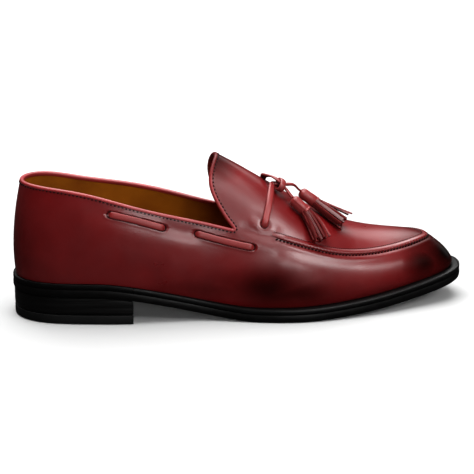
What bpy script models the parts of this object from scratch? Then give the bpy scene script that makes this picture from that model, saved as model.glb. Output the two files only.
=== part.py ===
"""A men's tassel loafer, the right shoe, built in metres with +Z up and the toe towards +X.

The medial side (towards the other shoe) is +Y. The origin is on the floor, under the middle of the box
that the shoe fills without its tassels. Tables hold shares of the named sizes, a row for each section.
"""

import math

import bmesh
import bpy
import numpy as np

# Overall sizes of the last
UPPER_LENGTH = 0.289
BALL_WIDTH = 0.092
HEEL_RADIUS = 0.0300
TOE_RADIUS = 0.0235
INSTEP_HEIGHT = 0.1030
COLLAR_HEIGHT = 0.0885

# Heights of the bottom
HEEL_RISE = 0.0180
TOE_SPRING = 0.0122
OUTSOLE_THICK = 0.0052
WELT_THICK = 0.0030
TOP_LIFT_THICK = 0.0060

# Walls, edges and clearances
GAP = 0.0003
WALL = 0.0020
EDGE_WIDTH = 0.0060
INSOLE_THICK = 0.0045
HEEL_INSET = 0.0007
BREAST_BOW = 0.0015

# The flat lace, its knot and the tassels
LACE_WIDTH = 0.0042
LACE_THICK = 0.0014
LACE_LIFT = 0.00045
KNOT_SIZE = (0.0115, 0.0100, 0.0062)
TIE_DIAMETER = 0.0026
TIE_GAP = 0.0011
HEAD_RADIUS = 0.0037
FRINGE_WIDTH, FRINGE_DEPTH = 0.0130, 0.0074

# The lace's section: shares of its half width and of its thickness
LACE_SECTION = ((-1.0, 0), (-1.0, 0.6), (-0.8, 1.0), (0.8, 1.0), (1.0, 0.6), (1.0, 0))

# The tassel's head: share of its length, share of its radius
HEAD_SHAPE = ((0, 0.62), (0.12, 0.92), (0.5, 1.0), (1.0, 1.04))

# The fringe: share of its length, share of its half width, share of its half depth
FRINGE_SHAPE = ((0, 0.55, 0.85), (0.3, 0.75, 0.95), (0.75, 1.0, 1.0), (1.0, 0.95, 0.95))

# How square the knot's cushion is: 1 makes an ellipsoid, and less makes it fuller
KNOT_FULLNESS = 0.6

# Share of the length; half breadth as a share of the ball width; shift of the middle to the medial side
PLAN_ROWS = (
    (0.06, 0.290, 0.002),
    (0.15, 0.351, -0.014),
    (0.27, 0.359, -0.047),
    (0.42, 0.320, -0.069),
    (0.52, 0.379, -0.074),
    (0.62, 0.456, -0.036),
    (0.72, 0.463, 0.016),
    (0.82, 0.397, 0.039),
    (0.90, 0.307, 0.045),
    (0.96, 0.214, 0.036),
)
HEEL_SHIFT, TOE_SHIFT = 0.0, 0.020

# Share of the length; height of the last's ridge above the floor as a share of the instep height
RIDGE_ROWS = (
    (0.00, 1.360),
    (0.20, 1.270),
    (0.35, 1.125),
    (0.45, 0.998),
    (0.55, 0.828),
    (0.65, 0.640),
    (0.73, 0.517),
    (0.80, 0.458),
    (0.88, 0.432),
    (0.95, 0.405),
    (1.00, 0.350),
)
RIDGE_BACK, RIDGE_FRONT = 0.12, 0.86

# Share of the length; roundness of the section; how far the wall bulges past the feather edge
WALL_ROWS = (
    (0.00, 2.00, 0.0015),
    (0.20, 2.00, 0.0020),
    (0.45, 2.05, 0.0030),
    (0.65, 2.20, 0.0030),
    (0.85, 2.35, 0.0020),
    (1.00, 2.40, 0.0012),
)

# A bulge of c * (1 - c)**3 peaks at 27/256, and this makes its peak the named size
BULGE_PEAK = 27 / 256

# Shares of the length at which the tread starts and ends, and at which the heel seat ends
FLAT_START, FLAT_END, SEAT_END = 0.533, 0.590, 0.166

# Share of the length; how far the sole's edge stands out past the feather edge, as a share of EDGE_WIDTH
EDGE_ROWS = (
    (0.00, 0.30),
    (0.30, 0.36),
    (0.50, 0.68),
    (0.65, 0.92),
    (1.00, 1.00),
)

# Share of the length; height of the lateral and of the medial topline as shares of the collar height
COLLAR_ROWS = (
    (0.00, 1.000, 1.000),
    (0.08, 0.984, 0.978),
    (0.15, 0.950, 0.930),
    (0.25, 0.862, 0.878),
    (0.35, 0.770, 0.815),
    (0.42, 0.712, 0.750),
    (0.49, 0.655, 0.682),
)

# Shares of the length at the heel's breast and at the throat's corner
BREAST, CORNER = 0.252, 0.482

# Share of the way from the throat's corner up to the ridge; how far the flap's edge leans back there,
# on the lateral and on the medial side, as shares of the length
FLAP_ROWS = (
    (0.00, 0.000, 0.000),
    (0.10, -0.017, -0.014),
    (0.25, -0.037, -0.029),
    (0.45, -0.055, -0.042),
    (0.65, -0.054, -0.045),
    (0.85, -0.042, -0.040),
    (1.00, -0.036, -0.036),
)
# Share of the vamp over which the lean fades out
LEAN_REACH = 0.34

# The lace outside the upper: start and end of each bar as (share of length, share of girth)
BARS = (
    ((0.201, 0.402), (0.320, 0.393)),
    ((0.395, 0.412), (0.516, 0.403)),
)
STRAP_ROUTE = ((0.550, 0.572), (0.565, 0.687), (0.585, 0.830), (0.590, 1.000))

# Places over the vamp on the lateral side: share of length, share of girth, height above the leather
KNOT_PLACE = (0.603, 0.890, 0.0054)
FRONT_TASSEL = ((0.632, 0.791, 0.0050), (0.662, 0.720, 0.0046), (0.681, 0.511, 0.0043))
BACK_TASSEL = ((0.689, 0.973, 0.0058), (0.732, 0.938, 0.0050), (0.778, 0.733, 0.0043))
FRONT_BEND = (0.624, 0.826, 0.0054)
BACK_BEND = (0.655, 0.940, 0.0078)

# Degrees from straight ahead at which each tie leaves the knot
FRONT_TURN, BACK_TURN = -30, 16

# Columns of the upper's mesh along the length, and rows up the quarters and up the vamp
HEEL_COLUMNS, WAIST_COLUMNS, VAMP_COLUMNS = 8, 9, 19
QUARTER_ROWS, FLAP_ROWS_UP = 9, 9


def spline(knots, values, at, first=None, last=None):
    """A cubic spline through the knots; an end slope that isn't given makes a natural end."""
    x, y, at = (np.asarray(v, float) for v in (knots, values, at))
    n, h = len(x), np.diff(x)
    system, right = np.zeros((n, n)), np.zeros(n)
    for i in range(1, n - 1):
        system[i, i - 1:i + 2] = h[i - 1], 2 * (h[i - 1] + h[i]), h[i]
        right[i] = 6 * ((y[i + 1] - y[i]) / h[i] - (y[i] - y[i - 1]) / h[i - 1])
    system[0, 0] = system[-1, -1] = 1
    if first is not None:
        system[0, :2] = 2 * h[0], h[0]
        right[0] = 6 * ((y[1] - y[0]) / h[0] - first)
    if last is not None:
        system[-1, -2:] = h[-1], 2 * h[-1]
        right[-1] = 6 * (last - (y[-1] - y[-2]) / h[-1])
    m = np.linalg.solve(system, right)
    i = np.clip(np.searchsorted(x, at) - 1, 0, n - 2)
    a, b = (x[i + 1] - at) / h[i], (at - x[i]) / h[i]
    return a * y[i] + b * y[i + 1] + ((a**3 - a) * m[i] + (b**3 - b) * m[i + 1]) * h[i] ** 2 / 6


def around(share):
    """The loop parameter, from 0 at the heel to 1 at the toe tip, of a share of the length."""
    return np.arccos(1 - 2 * np.asarray(share, float)) / math.pi


def share_of(u):
    """The share of the length at a loop parameter; even spacing in u crowds the round ends."""
    return (1 - np.cos(math.pi * np.asarray(u, float))) / 2


def plan(u):
    """Half breadth and middle line of the feather edge at the loop parameter."""
    rows = np.array(PLAN_ROWS)
    knots = np.concatenate([[0], around(rows[:, 0]), [1]])
    ends = np.sqrt(np.array([HEEL_RADIUS, TOE_RADIUS]) * UPPER_LENGTH / 2)
    breadth = rows[:, 1] * BALL_WIDTH / np.sin(math.pi * knots[1:-1])
    shift = np.concatenate([[HEEL_SHIFT], rows[:, 2], [TOE_SHIFT]]) * BALL_WIDTH
    half = spline(knots, np.concatenate([ends[:1], breadth, ends[1:]]), u, 0, 0)
    return half * np.sin(math.pi * np.asarray(u, float)), spline(knots, shift, u, 0, 0)


def bottom(share):
    """Height of the outsole's lower face: heel seat, waist, flat tread and toe spring."""
    share = np.asarray(share, float)
    rise = np.clip((FLAT_START - share) / (FLAT_START - SEAT_END), 0, 1)
    spring = np.clip((share - FLAT_END) / (1 - FLAT_END), 0, 1.2)
    return HEEL_RISE * rise**2 * (3 - 2 * rise) + TOE_SPRING * spring**2


def sole_top(share):
    """Height of the outsole's upper face."""
    return bottom(share) + OUTSOLE_THICK


def feather(share):
    """Height of the feather edge, where the upper meets the welt."""
    return sole_top(share) + WELT_THICK + 2 * GAP


def ridge(share):
    """Height of the last's ridge above the floor."""
    rows = np.array(RIDGE_ROWS)
    return spline(rows[:, 0], rows[:, 1], share) * INSTEP_HEIGHT


def wall(u):
    """Section roundness and outward bulge at the loop parameter."""
    rows = np.array(WALL_ROWS)
    share = share_of(u)
    return spline(rows[:, 0], rows[:, 1], share), spline(rows[:, 0], rows[:, 2], share)


def profile(side, u, steps=80):
    """The last's section from the feather edge up to the ridge: points, and how far along each lies.

    side is -1 on the lateral side and 1 on the medial side.
    """
    half, middle = plan(u)
    round_, bulge = wall(u)
    x0, y0 = share_of(u) * UPPER_LENGTH, middle + side * half
    x1 = (RIDGE_BACK + (RIDGE_FRONT - RIDGE_BACK) * share_of(u)) * UPPER_LENGTH
    y1 = plan(around(x1 / UPPER_LENGTH))[1]
    turn = np.linspace(0, math.pi / 2, steps)
    inward = 1 - np.cos(turn) ** (2 / round_)
    up = np.sin(turn) ** (2 / round_)
    reach = math.hypot(x1 - x0, y1 - y0)
    inward = inward - bulge / reach * up * (1 - up) ** 3 / BULGE_PEAK
    x, y = x0 + (x1 - x0) * inward, y0 + (y1 - y0) * inward
    drop = ridge(x0 / UPPER_LENGTH) - feather(x0 / UPPER_LENGTH)
    z = ridge(x / UPPER_LENGTH) - drop * (1 - up)
    points = np.stack([x, y, z], axis=1)
    along = np.concatenate([[0], np.cumsum(np.linalg.norm(np.diff(points, axis=0), axis=1))])
    return points, along / along[-1]


def on_last(side, u, v):
    """The point on the last at loop parameter u and share v of the girth from feather edge to ridge."""
    points, along = profile(side, u)
    return np.array([np.interp(v, along, points[:, k]) for k in range(3)])


def leather_out(side, u, v, step=1e-3):
    """The direction out of the leather at a place on the last."""
    along = on_last(side, min(u + step, 1), v) - on_last(side, max(u - step, 0), v)
    up = on_last(side, u, min(v + 5 * step, 1)) - on_last(side, u, max(v - 5 * step, 0))
    out = np.cross(along, up) * -side
    return out / np.linalg.norm(out)


def above_last(side, place):
    """The point at a share of length, a share of girth and a height above the leather."""
    share, v, height = place
    u = float(around(share))
    return on_last(side, u, v) + leather_out(side, u, v) * height


def collar(side, share):
    """Height of the topline."""
    rows = np.array(COLLAR_ROWS)
    return spline(rows[:, 0], rows[:, 1 if side < 0 else 2], share) * COLLAR_HEIGHT


def topline(side, u):
    """The share of girth at which the section at u reaches the topline."""
    points, along = profile(side, u)
    return float(np.interp(0, points[:, 2] - collar(side, points[:, 0] / UPPER_LENGTH), along))


def leaning(side, u, rise):
    """The loop parameter of a vamp column: beside the throat it leans back with the flap's edge."""
    rows = np.array(FLAP_ROWS)
    leans = rows[:, 1 if side < 0 else 2]
    corner = float(around(CORNER))
    fall = np.clip(1 - (u - corner) / (1 - corner) / LEAN_REACH, 0, 1)
    lean = float(spline(rows[:, 0], leans, rise, last=0)) * fall**2 * (3 - 2 * fall)
    return float(around(share_of(u) + lean))


def edge(side, u, offset, step=1e-3):
    """The feather edge moved outwards in plan by an offset: x and y."""
    half, middle = plan(np.array([u - step, u, u + step]))
    x = share_of(np.array([u - step, u, u + step])) * UPPER_LENGTH
    y = middle + side * half
    tangent = np.array([x[2] - x[0], y[2] - y[0]])
    tangent /= np.linalg.norm(tangent)
    return np.array([x[1], y[1]]) + side * np.array([-tangent[1], tangent[0]]) * offset


def stand(u):
    """How far the sole's edge stands out past the feather edge."""
    rows = np.array(EDGE_ROWS)
    return float(spline(rows[:, 0], rows[:, 1], share_of(u))) * EDGE_WIDTH


def heel_edge(u):
    """How far the heel's side stands out past the feather edge."""
    return stand(u) - HEEL_INSET


def insole_edge(u):
    """The insole lies inside the upper's wall and the welt, so its edge is inside the feather edge."""
    return -(WALL + GAP)


# Mesh helpers


class Skin:
    """Faces gathered by their corners; corners at one place become one vertex."""

    def __init__(self):
        self.points, self.faces, self.index = [], [], {}

    def vertex(self, point):
        key = tuple(int(round(float(c) * 1e7)) for c in point)
        if key not in self.index:
            self.index[key] = len(self.points)
            self.points.append(tuple(float(c) for c in point))
        return self.index[key]

    def face(self, *corners):
        ids = []
        for corner in corners:
            i = self.vertex(corner)
            if i not in ids:
                ids.append(i)
        if len(ids) > 2:
            self.faces.append(ids)

    def grid(self, rows):
        """Quads between each row of points and the next."""
        for low, high in zip(rows[:-1], rows[1:]):
            for a, b, c, d in zip(low[:-1], low[1:], high[1:], high[:-1]):
                self.face(a, b, c, d)


def finish(name, points, faces, material, flat=40):
    """Makes the object, turns its faces outwards and shades it smooth up to an angle."""
    mesh = bpy.data.meshes.new(name)
    mesh.from_pydata(points, [], faces)
    work = bmesh.new()
    work.from_mesh(mesh)
    bmesh.ops.recalc_face_normals(work, faces=work.faces)
    work.to_mesh(mesh)
    work.free()
    mesh.shade_smooth()
    mesh.set_sharp_from_angle(angle=math.radians(flat))
    mesh.materials.append(material)
    made = bpy.data.objects.new(name, mesh)
    bpy.context.scene.collection.objects.link(made)
    return made


def finish_skin(name, skin, material):
    return finish(name, skin.points, skin.faces, material)


def surface(name, colour, roughness):
    """A Principled material in the part's colour."""
    made = bpy.data.materials.new(name)
    made.use_nodes = True
    shader = made.node_tree.nodes["Principled BSDF"]
    shader.inputs["Base Color"].default_value = (*colour, 1)
    shader.inputs["Roughness"].default_value = roughness
    shader.inputs["Metallic"].default_value = 0
    made.diffuse_color = (*colour, 1)
    return made


def slab(name, loop, offset, low, high, material, across=1, bow=0):
    """A layer of the bottom, from the heel along the loop parameters given, between two heights.

    offset gives how far its edge stands past the feather edge, and low and high give heights at a share.
    """
    columns = []
    for u in loop:
        left, right = edge(-1, u, offset(u)), edge(1, u, offset(u))
        shares = np.linspace(0, 1, across + 1)
        line = [left + (right - left) * t for t in shares]
        if u == loop[-1]:
            line = [p - np.array([bow * 4 * t * (1 - t), 0]) for p, t in zip(line, shares)]
        columns.append(line)
    skin = Skin()
    under = [[(*p, float(low(p[0] / UPPER_LENGTH))) for p in line] for line in columns]
    over = [[(*p, float(high(p[0] / UPPER_LENGTH))) for p in line] for line in columns]
    skin.grid(under)
    skin.grid(over)
    for k in (0, -1):
        skin.grid([[line[k] for line in under], [line[k] for line in over]])
        skin.grid([under[k], over[k]])
    return finish_skin(name, skin, material)


def rim(name, stations, material):
    """A strip swept through (side, u) stations along the outsole's edge."""
    skin = Skin()
    rings = []
    for side, u in stations:
        inner, outer = edge(side, u, -WALL), edge(side, u, stand(u))
        ring = []
        for p, up in ((inner, 0), (outer, 0), (outer, 1), (inner, 1)):
            z = sole_top(p[0] / UPPER_LENGTH) + GAP + up * WELT_THICK
            ring.append((*p, float(z)))
        rings.append(ring)
    skin.grid([ring + ring[:1] for ring in rings])
    skin.face(*rings[0])
    skin.face(*rings[-1])
    return finish_skin(name, skin, material)


def make_upper(loop, material):
    """The upper: one wall from the feather edge to the topline and over the vamp to the flap."""
    corner = len(loop) - VAMP_COLUMNS - 1
    throat = {side: topline(side, loop[corner]) for side in (-1, 1)}
    middle = (throat[-1] + throat[1]) / 2
    regions = (
        (loop[:corner + 1], QUARTER_ROWS),
        (loop[corner:], QUARTER_ROWS + FLAP_ROWS_UP),
    )
    skin = Skin()
    for side in (-1, 1):
        for columns, rows in regions:
            lines = []
            for u in columns:
                ahead = max(0, u - loop[corner]) / (1 - loop[corner])
                if ahead:
                    top = throat[side] + (middle - throat[side]) * ahead
                else:
                    top = topline(side if u else -1, u)
                line = []
                for row in range(rows + 1):
                    rise = max(0, row - QUARTER_ROWS) / FLAP_ROWS_UP
                    v = top * min(row / QUARTER_ROWS, 1) + (1 - top) * rise
                    half = -1 if u in (loop[0], loop[-1]) or rise == 1 else side
                    line.append(on_last(half, leaning(side, u, rise) if rise else u, v))
                lines.append(line)
            skin.grid(lines if side > 0 else [line[::-1] for line in lines])
    points = np.array(skin.points)
    out = np.zeros_like(points)
    uses = {}
    for ids in skin.faces:
        a, b, c, d = (points[i] for i in (ids if len(ids) == 4 else ids + ids[-1:]))
        for i in ids:
            out[i] += np.cross(c - a, d - b)
        for pair in zip(ids, ids[1:] + ids[:1]):
            uses.setdefault(frozenset(pair), []).append(pair)
    out /= np.linalg.norm(out, axis=1)[:, None]
    inner = points - out * WALL
    for side in (-1, 1):
        for u in loop:
            at = skin.vertex(on_last(-1 if u in (loop[0], loop[-1]) else side, u, 0))
            inner[at] = (*edge(side, u, -WALL), points[at][2])
    count = len(points)
    faces = skin.faces + [[i + count for i in ids[::-1]] for ids in skin.faces]
    for pairs in uses.values():
        if len(pairs) == 1:
            a, b = pairs[0]
            faces.append([b, a, a + count, b + count])
    return finish("upper", [tuple(p) for p in np.concatenate([points, inner])], faces, material, 60)


def thong(name, stations, material):
    """A flat lace along (point, out) stations, lying a gap above the leather."""
    section = [(w * LACE_WIDTH / 2, LACE_LIFT + t * LACE_THICK) for w, t in LACE_SECTION]
    points = [p for p, _ in stations]
    rings = []
    for i, (point, out) in enumerate(stations):
        ahead = points[min(i + 1, len(points) - 1)] - points[max(i - 1, 0)]
        width = np.cross(out, ahead)
        width /= np.linalg.norm(width)
        rings.append([point + width * w + out * t for w, t in section])
    skin = Skin()
    skin.grid([ring + ring[:1] for ring in rings])
    skin.face(*rings[0])
    skin.face(*rings[-1])
    return finish_skin(name, skin, material)


def bar_stations(side, ends, steps=10):
    """Stations of a lace bar between two places on the last."""
    made = []
    for t in np.linspace(0, 1, steps + 1):
        share, v = np.array(ends[0]) * (1 - t) + np.array(ends[1]) * t
        u = float(around(share))
        made.append((on_last(side, u, v), leather_out(side, u, v)))
    return made


def strap_stations(steps=9):
    """Stations of the lace over the vamp, from the lateral slot across the ridge to the medial slot."""
    rows = np.array(STRAP_ROUTE)
    knots = np.linspace(0, 1, len(rows))
    made = []
    for side in (-1, 1):
        half = []
        for t in np.linspace(0, 1, steps + 1):
            share, v = (float(spline(knots, rows[:, k], t)) for k in (0, 1))
            u = float(around(share))
            half.append((on_last(side, u, min(v, 1)), leather_out(side, u, min(v, 0.995))))
        made.append(half)
    ridge_point, up = made[0][-1][0], made[0][-1][1] + made[1][-1][1]
    return made[0][:-1] + [(ridge_point, up / np.linalg.norm(up))] + made[1][-2::-1]


def turned(name, stations, out, material, sides=12):
    """A solid of rings on a line of (point, half width along the leather, half width out of it)."""
    points = [np.array(p) for p, _, _ in stations]
    ahead = points[-1] - points[0]
    ahead /= np.linalg.norm(ahead)
    across = np.cross(out, ahead)
    across /= np.linalg.norm(across)
    up = np.cross(ahead, across)
    rings = []
    for point, wide, deep in stations:
        ring = []
        for k in range(sides):
            turn = 2 * math.pi * (k + 0.5) / sides
            ring.append(point + across * wide * math.cos(turn) + up * deep * math.sin(turn))
        rings.append(ring)
    skin = Skin()
    skin.grid([ring + ring[:1] for ring in rings])
    skin.face(*rings[0])
    skin.face(*rings[-1])
    return finish_skin(name, skin, material)


def make_tassel(name, places, material, cut_material):
    """A rolled leather head and the fringe that hangs from it, each on a straight axis."""
    start, neck, tip = (above_last(-1, place) for place in places)
    out = leather_out(-1, float(around(places[1][0])), places[1][1])
    head = [(start + (neck - start) * t, HEAD_RADIUS * r, HEAD_RADIUS * r) for t, r in HEAD_SHAPE]
    turned(name + "_head", head, out, material)

    wide, deep = FRINGE_WIDTH / 2, FRINGE_DEPTH / 2
    along = (neck - start) / np.linalg.norm(neck - start)
    hang = (tip - neck) / np.linalg.norm(tip - neck)
    bend = math.sqrt(max(0, 1 - np.dot(hang, along) ** 2))
    first = neck + along * (GAP + deep * bend)
    fringe = [(first + (tip - first) * t, wide * w, deep * d) for t, w, d in FRINGE_SHAPE]
    turned(name + "_fringe", fringe, out, cut_material)


def knot_frame():
    """The knot's centre, and its directions ahead, across the leather and out of it."""
    u, v = float(around(KNOT_PLACE[0])), KNOT_PLACE[1]
    up = leather_out(-1, u, v)
    ahead = on_last(-1, u + 0.01, v) - on_last(-1, u, v)
    ahead -= up * np.dot(ahead, up)
    ahead /= np.linalg.norm(ahead)
    return above_last(-1, KNOT_PLACE), ahead, np.cross(up, ahead), up


def make_tie(name, turn, bend, tassel, material, steps=6):
    """The short end of lace from the knot's side, over a bend, to the top of a tassel's head."""
    centre, ahead, across, _ = knot_frame()
    turn = math.radians(turn)
    leave = ahead * KNOT_SIZE[0] * math.cos(turn) + across * KNOT_SIZE[1] * math.sin(turn)
    start = centre + leave / 2 + leave / np.linalg.norm(leave) * TIE_GAP
    head, neck = (above_last(-1, place) for place in tassel[:2])
    end = head - (neck - head) / np.linalg.norm(neck - head) * TIE_GAP
    rows = np.array([start, above_last(-1, bend), end])
    knots = np.linspace(0, 1, len(rows))
    curve = bpy.data.curves.new(name, "CURVE")
    curve.dimensions = "3D"
    curve.bevel_depth = TIE_DIAMETER / 2
    curve.bevel_resolution = 2
    curve.use_fill_caps = True
    line = curve.splines.new("POLY")
    line.points.add(steps)
    for i, t in enumerate(np.linspace(0, 1, steps + 1)):
        line.points[i].co = (*(float(spline(knots, rows[:, k], t)) for k in range(3)), 1)
    curve.materials.append(material)
    made = bpy.data.objects.new(name, curve)
    bpy.context.scene.collection.objects.link(made)
    return made


def make_knot(material, around_count=12, levels=5):
    """The knot as one rounded cushion over the strap."""
    centre, ahead, across, up = knot_frame()
    rings = []
    for i in range(levels):
        tilt = math.pi * (i + 0.5) / levels
        reach = math.sin(tilt) ** KNOT_FULLNESS
        ring = []
        for k in range(around_count):
            turn = 2 * math.pi * k / around_count
            offset = ahead * KNOT_SIZE[0] * reach * math.cos(turn)
            offset += across * KNOT_SIZE[1] * reach * math.sin(turn)
            offset -= up * KNOT_SIZE[2] * math.cos(tilt)
            ring.append(centre + offset / 2)
        rings.append(ring)
    skin = Skin()
    skin.grid([ring + ring[:1] for ring in rings])
    skin.face(*rings[0])
    skin.face(*rings[-1])
    return finish_skin("knot", skin, material)


def centre_on_floor(left_out):
    """Moves every object so that the box of all but the left-out ones has its middle over the origin."""
    bpy.context.view_layer.update()
    corners = [corner for made in bpy.data.objects if made.name not in left_out for corner in made.bound_box]
    low, high = np.min(corners, axis=0), np.max(corners, axis=0)
    for made in bpy.data.objects:
        made.location = (-(low[0] + high[0]) / 2, -(low[1] + high[1]) / 2, -low[2])


def build():
    for made in list(bpy.data.objects):
        bpy.data.objects.remove(made)

    red = surface("burnished_calf", (0.230, 0.030, 0.028), 0.32)
    lace = surface("lace_leather", (0.300, 0.060, 0.052), 0.42)
    black = surface("dressed_edge", (0.014, 0.012, 0.012), 0.30)
    stack = surface("stacked_leather", (0.018, 0.014, 0.013), 0.34)
    sole = surface("sole_leather", (0.030, 0.024, 0.021), 0.50)
    rubber = surface("heel_rubber", (0.012, 0.012, 0.012), 0.60)
    tan = surface("lining_leather", (0.330, 0.150, 0.045), 0.55)

    breast, corner = float(around(BREAST)), float(around(CORNER))
    to_breast = np.linspace(0, breast, HEEL_COLUMNS + 1)
    to_corner = np.linspace(breast, corner, WAIST_COLUMNS + 1)[1:]
    loop = np.concatenate([to_breast, to_corner, np.linspace(corner, 1, VAMP_COLUMNS + 1)[1:]])

    make_upper(loop, red)
    slab("outsole", loop, stand, bottom, sole_top, sole)
    under, over = GAP, GAP + INSOLE_THICK
    slab("insole", loop, insole_edge, lambda s: sole_top(s) + under, lambda s: sole_top(s) + over, tan)
    after_breast = float(around(BREAST + GAP / UPPER_LENGTH))
    forward = np.concatenate([[after_breast], loop[HEEL_COLUMNS + 1:]])
    rim("welt", [(-1, u) for u in forward] + [(1, u) for u in forward[-2::-1]], black)
    rim("heel_rand", [(-1, u) for u in to_breast[::-1]] + [(1, u) for u in to_breast[1:]], black)
    lift, seam = TOP_LIFT_THICK, TOP_LIFT_THICK + GAP
    slab("top_lift", to_breast, heel_edge, lambda s: 0, lambda s: lift, rubber, 6, BREAST_BOW)
    slab("heel_stack", to_breast, heel_edge, lambda s: seam, lambda s: bottom(s) - GAP, stack, 6, BREAST_BOW)

    for side, word in ((-1, "lateral"), (1, "medial")):
        for number, ends in enumerate(BARS, 1):
            thong(f"lace_{word}_{number}", bar_stations(side, ends), lace)
    thong("vamp_strap", strap_stations(), lace)
    firm = {made.name for made in bpy.data.objects}
    make_knot(lace)
    make_tie("front_tie", FRONT_TURN, FRONT_BEND, FRONT_TASSEL, lace)
    make_tie("back_tie", BACK_TURN, BACK_BEND, BACK_TASSEL, lace)
    make_tassel("front_tassel", FRONT_TASSEL, red, lace)
    make_tassel("back_tassel", BACK_TASSEL, red, lace)
    centre_on_floor({made.name for made in bpy.data.objects} - firm)


build()
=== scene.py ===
# %% [markdown]
# # A tassel loafer, dressed on its packed frame
#
# The frame is the shoe's construction at its real size: upper, soles, heel, lace bars, knot and
# tassels, as plain solids. This lesson adds the looks. A dressed shoe could be sculpted from a block,
# but it would drift away from the construction, so every piece here is made from the same last as the
# frame's own, only with a finer mesh. Sizes are in metres; the toe points to +X, and the outer
# (lateral) side of this right shoe faces -Y.

# %% Load the frame
import math

import bmesh
import bpy
import numpy as np
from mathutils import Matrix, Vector


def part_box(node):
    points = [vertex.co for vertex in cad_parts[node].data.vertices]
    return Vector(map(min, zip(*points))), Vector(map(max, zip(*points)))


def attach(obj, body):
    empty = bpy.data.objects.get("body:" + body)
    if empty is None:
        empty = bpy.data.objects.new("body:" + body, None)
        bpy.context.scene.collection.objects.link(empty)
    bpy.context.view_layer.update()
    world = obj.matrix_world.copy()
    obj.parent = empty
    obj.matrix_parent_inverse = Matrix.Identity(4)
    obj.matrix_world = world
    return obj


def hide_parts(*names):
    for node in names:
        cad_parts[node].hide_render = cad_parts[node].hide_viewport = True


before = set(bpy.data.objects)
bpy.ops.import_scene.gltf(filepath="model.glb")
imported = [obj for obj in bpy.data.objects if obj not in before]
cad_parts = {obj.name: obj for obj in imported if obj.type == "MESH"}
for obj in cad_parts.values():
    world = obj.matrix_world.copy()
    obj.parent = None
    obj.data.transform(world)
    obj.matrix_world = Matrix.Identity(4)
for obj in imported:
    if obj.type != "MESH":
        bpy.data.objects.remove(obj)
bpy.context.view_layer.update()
MM = 0.001
print("frame nodes:", len(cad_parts))

# %% [markdown]
# ## The last
#
# A shoemaker builds a shoe over a last, a solid foot shape. Its outline on the ground is the feather
# edge, and over each place of that outline a section climbs to the ridge along the top. It could be a
# sculpted mesh, but a short table for each curve is easier to read off a photograph and to change
# later. Places in the tables are shares of the shoe's own sizes.

# %% Sizes of the last
UPPER_LENGTH, BALL_WIDTH = 0.289, 0.092
HEEL_RADIUS, TOE_RADIUS = 0.0300, 0.0235
INSTEP_HEIGHT, COLLAR_HEIGHT = 0.1030, 0.0885
HEEL_RISE, TOE_SPRING = 0.0180, 0.0122
OUTSOLE_THICK, WELT_THICK, TOP_LIFT_THICK = 0.0052, 0.0030, 0.0060
GAP, WALL, EDGE_WIDTH = 0.0003, 0.0020, 0.0060
INSOLE_THICK, HEEL_INSET, BREAST_BOW = 0.0045, 0.0007, 0.0015

# share of the length, half breadth and shift of the middle as shares of the ball width
PLAN_ROWS = (
    (0.06, 0.290, 0.002), (0.15, 0.351, -0.014), (0.27, 0.359, -0.047), (0.42, 0.320, -0.069),
    (0.52, 0.379, -0.074), (0.62, 0.456, -0.036), (0.72, 0.463, 0.016), (0.82, 0.397, 0.039),
    (0.90, 0.307, 0.045), (0.96, 0.214, 0.036),
)
TOE_SHIFT = 0.020
# share of the length, height of the ridge as a share of the instep height
RIDGE_ROWS = (
    (0.00, 1.360), (0.20, 1.270), (0.35, 1.125), (0.45, 0.998), (0.55, 0.828), (0.65, 0.640),
    (0.73, 0.517), (0.80, 0.458), (0.88, 0.432), (0.95, 0.405), (1.00, 0.350),
)
RIDGE_BACK, RIDGE_FRONT = 0.12, 0.86
# share of the length, roundness of the section, outward bulge
WALL_ROWS = (
    (0.00, 2.00, 0.0015), (0.20, 2.00, 0.0020), (0.45, 2.05, 0.0030),
    (0.65, 2.20, 0.0030), (0.85, 2.35, 0.0020), (1.00, 2.40, 0.0012),
)
BULGE_PEAK = 27 / 256
FLAT_START, FLAT_END, SEAT_END = 0.533, 0.590, 0.166
# share of the length, how far the sole stands out as a share of the edge width
EDGE_ROWS = ((0.00, 0.30), (0.30, 0.36), (0.50, 0.68), (0.65, 0.92), (1.00, 1.00))
# share of the length, lateral and medial topline height as shares of the collar height
COLLAR_ROWS = (
    (0.00, 1.000, 1.000), (0.08, 0.984, 0.978), (0.15, 0.950, 0.930), (0.25, 0.862, 0.878),
    (0.35, 0.770, 0.815), (0.42, 0.712, 0.750), (0.49, 0.655, 0.682),
)
BREAST, CORNER = 0.252, 0.482
# share of the way up the flap, lateral and medial lean of its edge as shares of the length
FLAP_ROWS = (
    (0.00, 0.000, 0.000), (0.10, -0.017, -0.014), (0.25, -0.037, -0.029), (0.45, -0.055, -0.042),
    (0.65, -0.054, -0.045), (0.85, -0.042, -0.040), (1.00, -0.036, -0.036),
)
LEAN_REACH = 0.34
print("upper", UPPER_LENGTH, "m long, ball", BALL_WIDTH, "m wide")

# %% [markdown]
# A table holds ten places or so, and the leather between them is smooth. Straight steps would show as
# flats in the gloss, so a cubic spline runs through them. The loop parameter `u` runs from the heel (0)
# to the toe tip (1) and crowds points at both round ends, where the outline turns fast. `around` and
# `share_of` turn a share of the length into `u` and back.

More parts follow.
